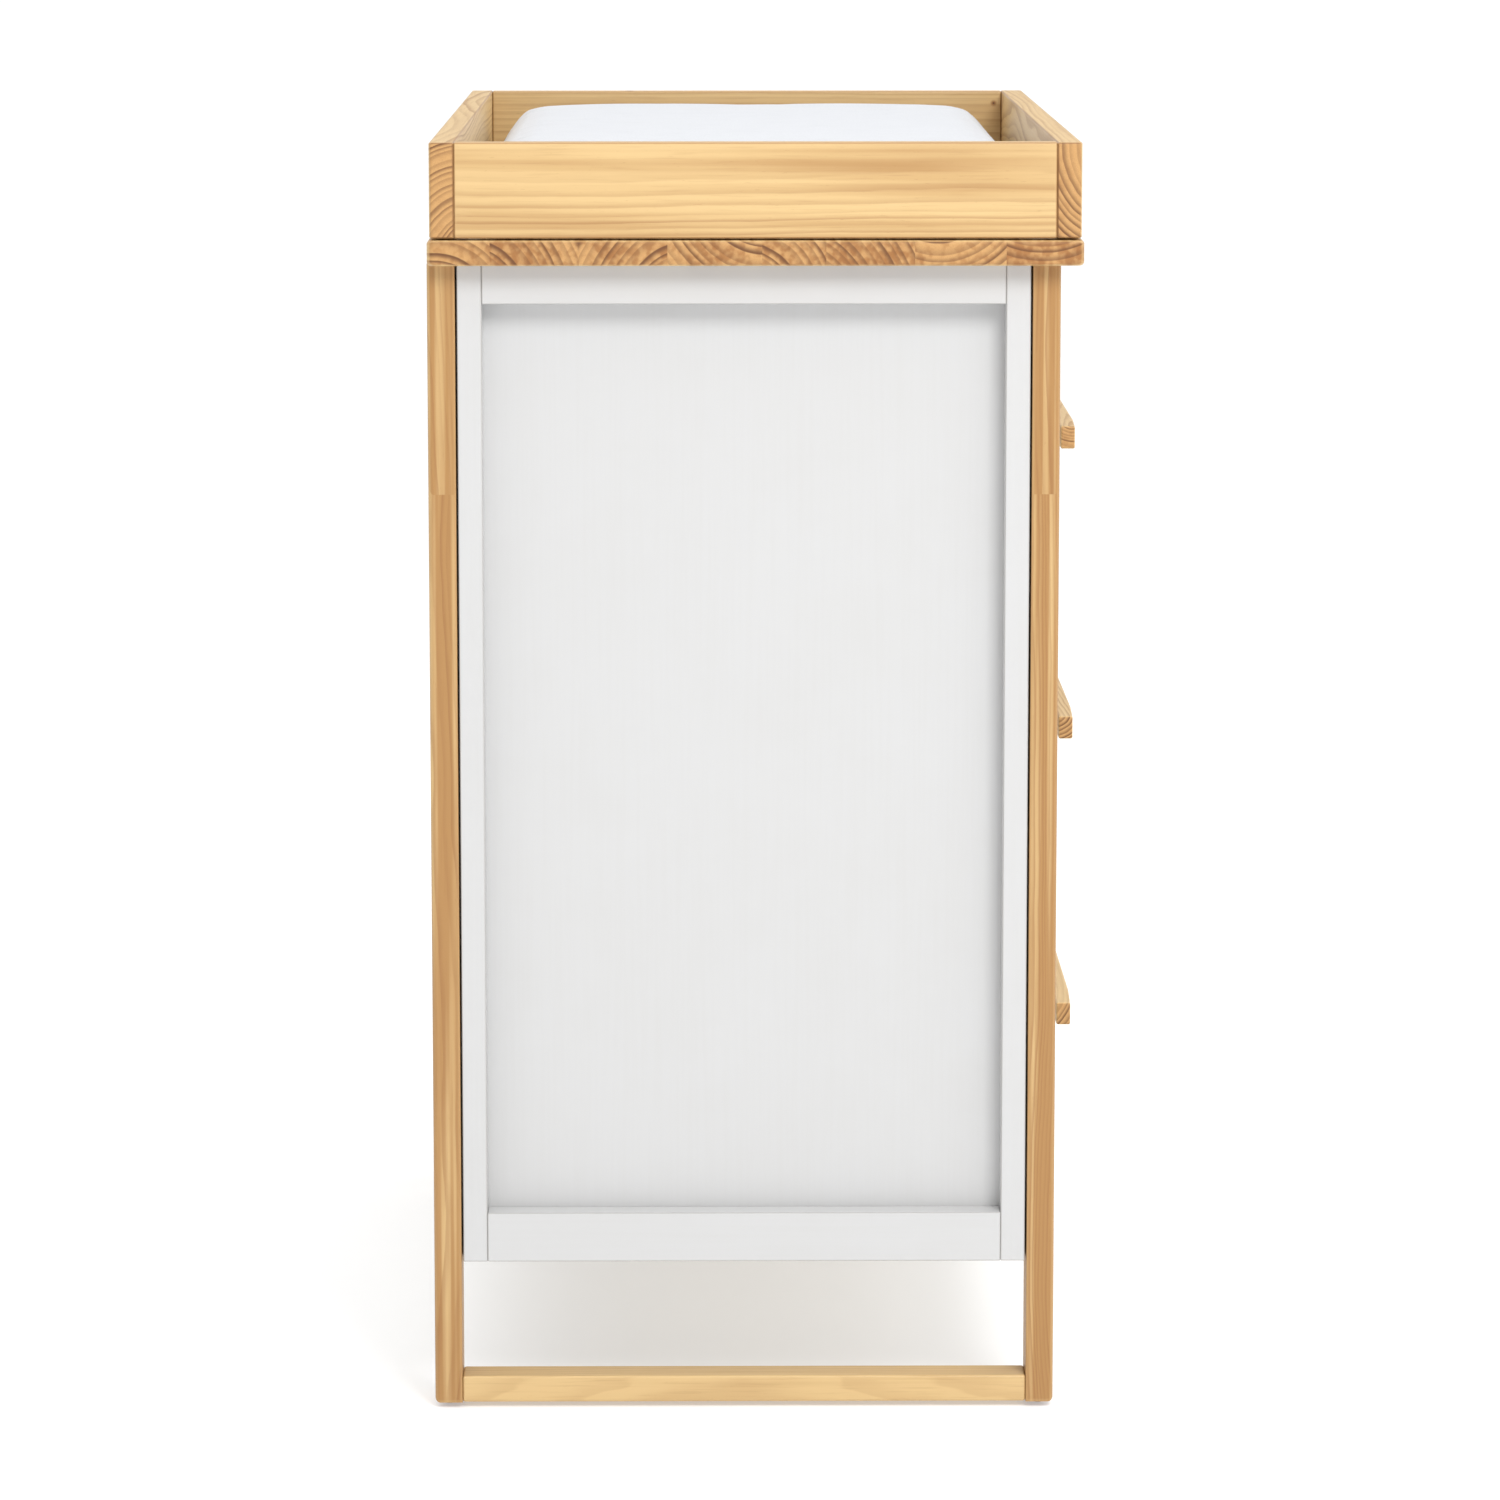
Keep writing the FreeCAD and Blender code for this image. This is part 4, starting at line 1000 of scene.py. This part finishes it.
class CHANGING_TABLE_OT_set_stage(bpy.types.Operator):
    """Set the floor, the soft lights and the camera"""

    bl_idname = "changing_table.set_stage"
    bl_label = "Set the stage"

    def execute(self, context):
        stage = settings().stage
        bpy.ops.object.select_all(action="DESELECT")
        bpy.ops.mesh.primitive_circle_add(vertices=96, radius=FLOOR_RADIUS, fill_type="NGON")
        floor = context.object
        floor.name = "floor"
        floor.data.materials.append(floor_finish().material)
        world = bpy.data.worlds.new("even_light")
        world.use_nodes = True
        background = world.node_tree.nodes["Background"]
        background.inputs["Color"].default_value = (1, 1, 1, 1)
        sky = Nodes(world.node_tree)
        height = sky.parts(sky.node("ShaderNodeTexCoord", output="Generated"))[2]
        above = height.most(0) ** 2 * stage.zenith + stage.sky
        low_down = (1 - height.step(0.10, 0.22)) * stage.horizon
        sky.feed(background.inputs["Strength"], low_down + above)
        context.scene.world = world
        soft_light("key_light", *KEY_LIGHT, stage.key)
        soft_light("front_light", *FRONT_LIGHT, stage.fill * 2)
        soft_light("rear_light", *REAR_LIGHT, stage.fill)
        bpy.ops.object.camera_add(location=(-stage.distance, stage.aside, stage.height))
        camera = context.object
        camera.name = "camera"
        camera.data.lens = stage.lens
        camera.data.sensor_width = 36
        camera.data.clip_end = 300
        camera.rotation_euler = (math.radians(90) - stage.pitch, 0, -math.radians(90) - stage.turn)
        context.scene.camera = camera
        context.scene.view_settings.view_transform = "Standard"
        return {"FINISHED"}


# ---------------------------------------------------------------- panel and registration

class CHANGING_TABLE_PT_pieces(bpy.types.Panel):
    """The changing table's steps in the sidebar."""

    bl_idname = "CHANGING_TABLE_PT_pieces"
    bl_label = "Changing table"
    bl_space_type = "VIEW_3D"
    bl_region_type = "UI"
    bl_category = "Changing table"

    def draw(self, context):
        for operator in OPERATORS:
            self.layout.operator(operator.bl_idname)


GROUPS = (PineSettings, PaintSettings, PadSettings, HardwareSettings, StageSettings, TableSettings)
OPERATORS = (
    CHANGING_TABLE_OT_finish_pine,
    CHANGING_TABLE_OT_finish_paint,
    CHANGING_TABLE_OT_finish_inside,
    CHANGING_TABLE_OT_finish_hardware,
    CHANGING_TABLE_OT_make_pad,
    CHANGING_TABLE_OT_make_piping,
    CHANGING_TABLE_OT_set_stage,
)


def register():
    for item in (*GROUPS, *OPERATORS, CHANGING_TABLE_PT_pieces):
        bpy.utils.register_class(item)
    bpy.types.Scene.changing_table = bpy.props.PointerProperty(type=TableSettings)


def unregister():
    del bpy.types.Scene.changing_table
    for item in reversed((*GROUPS, *OPERATORS, CHANGING_TABLE_PT_pieces)):
        bpy.utils.unregister_class(item)


def main():
    register()
    bpy.ops.changing_table.finish_pine()
    bpy.ops.changing_table.finish_paint()
    bpy.ops.changing_table.finish_inside()
    bpy.ops.changing_table.finish_hardware()
    bpy.ops.changing_table.make_pad()
    bpy.ops.changing_table.make_piping()
    bpy.ops.changing_table.set_stage()


if __name__ == "__main__":
    main()
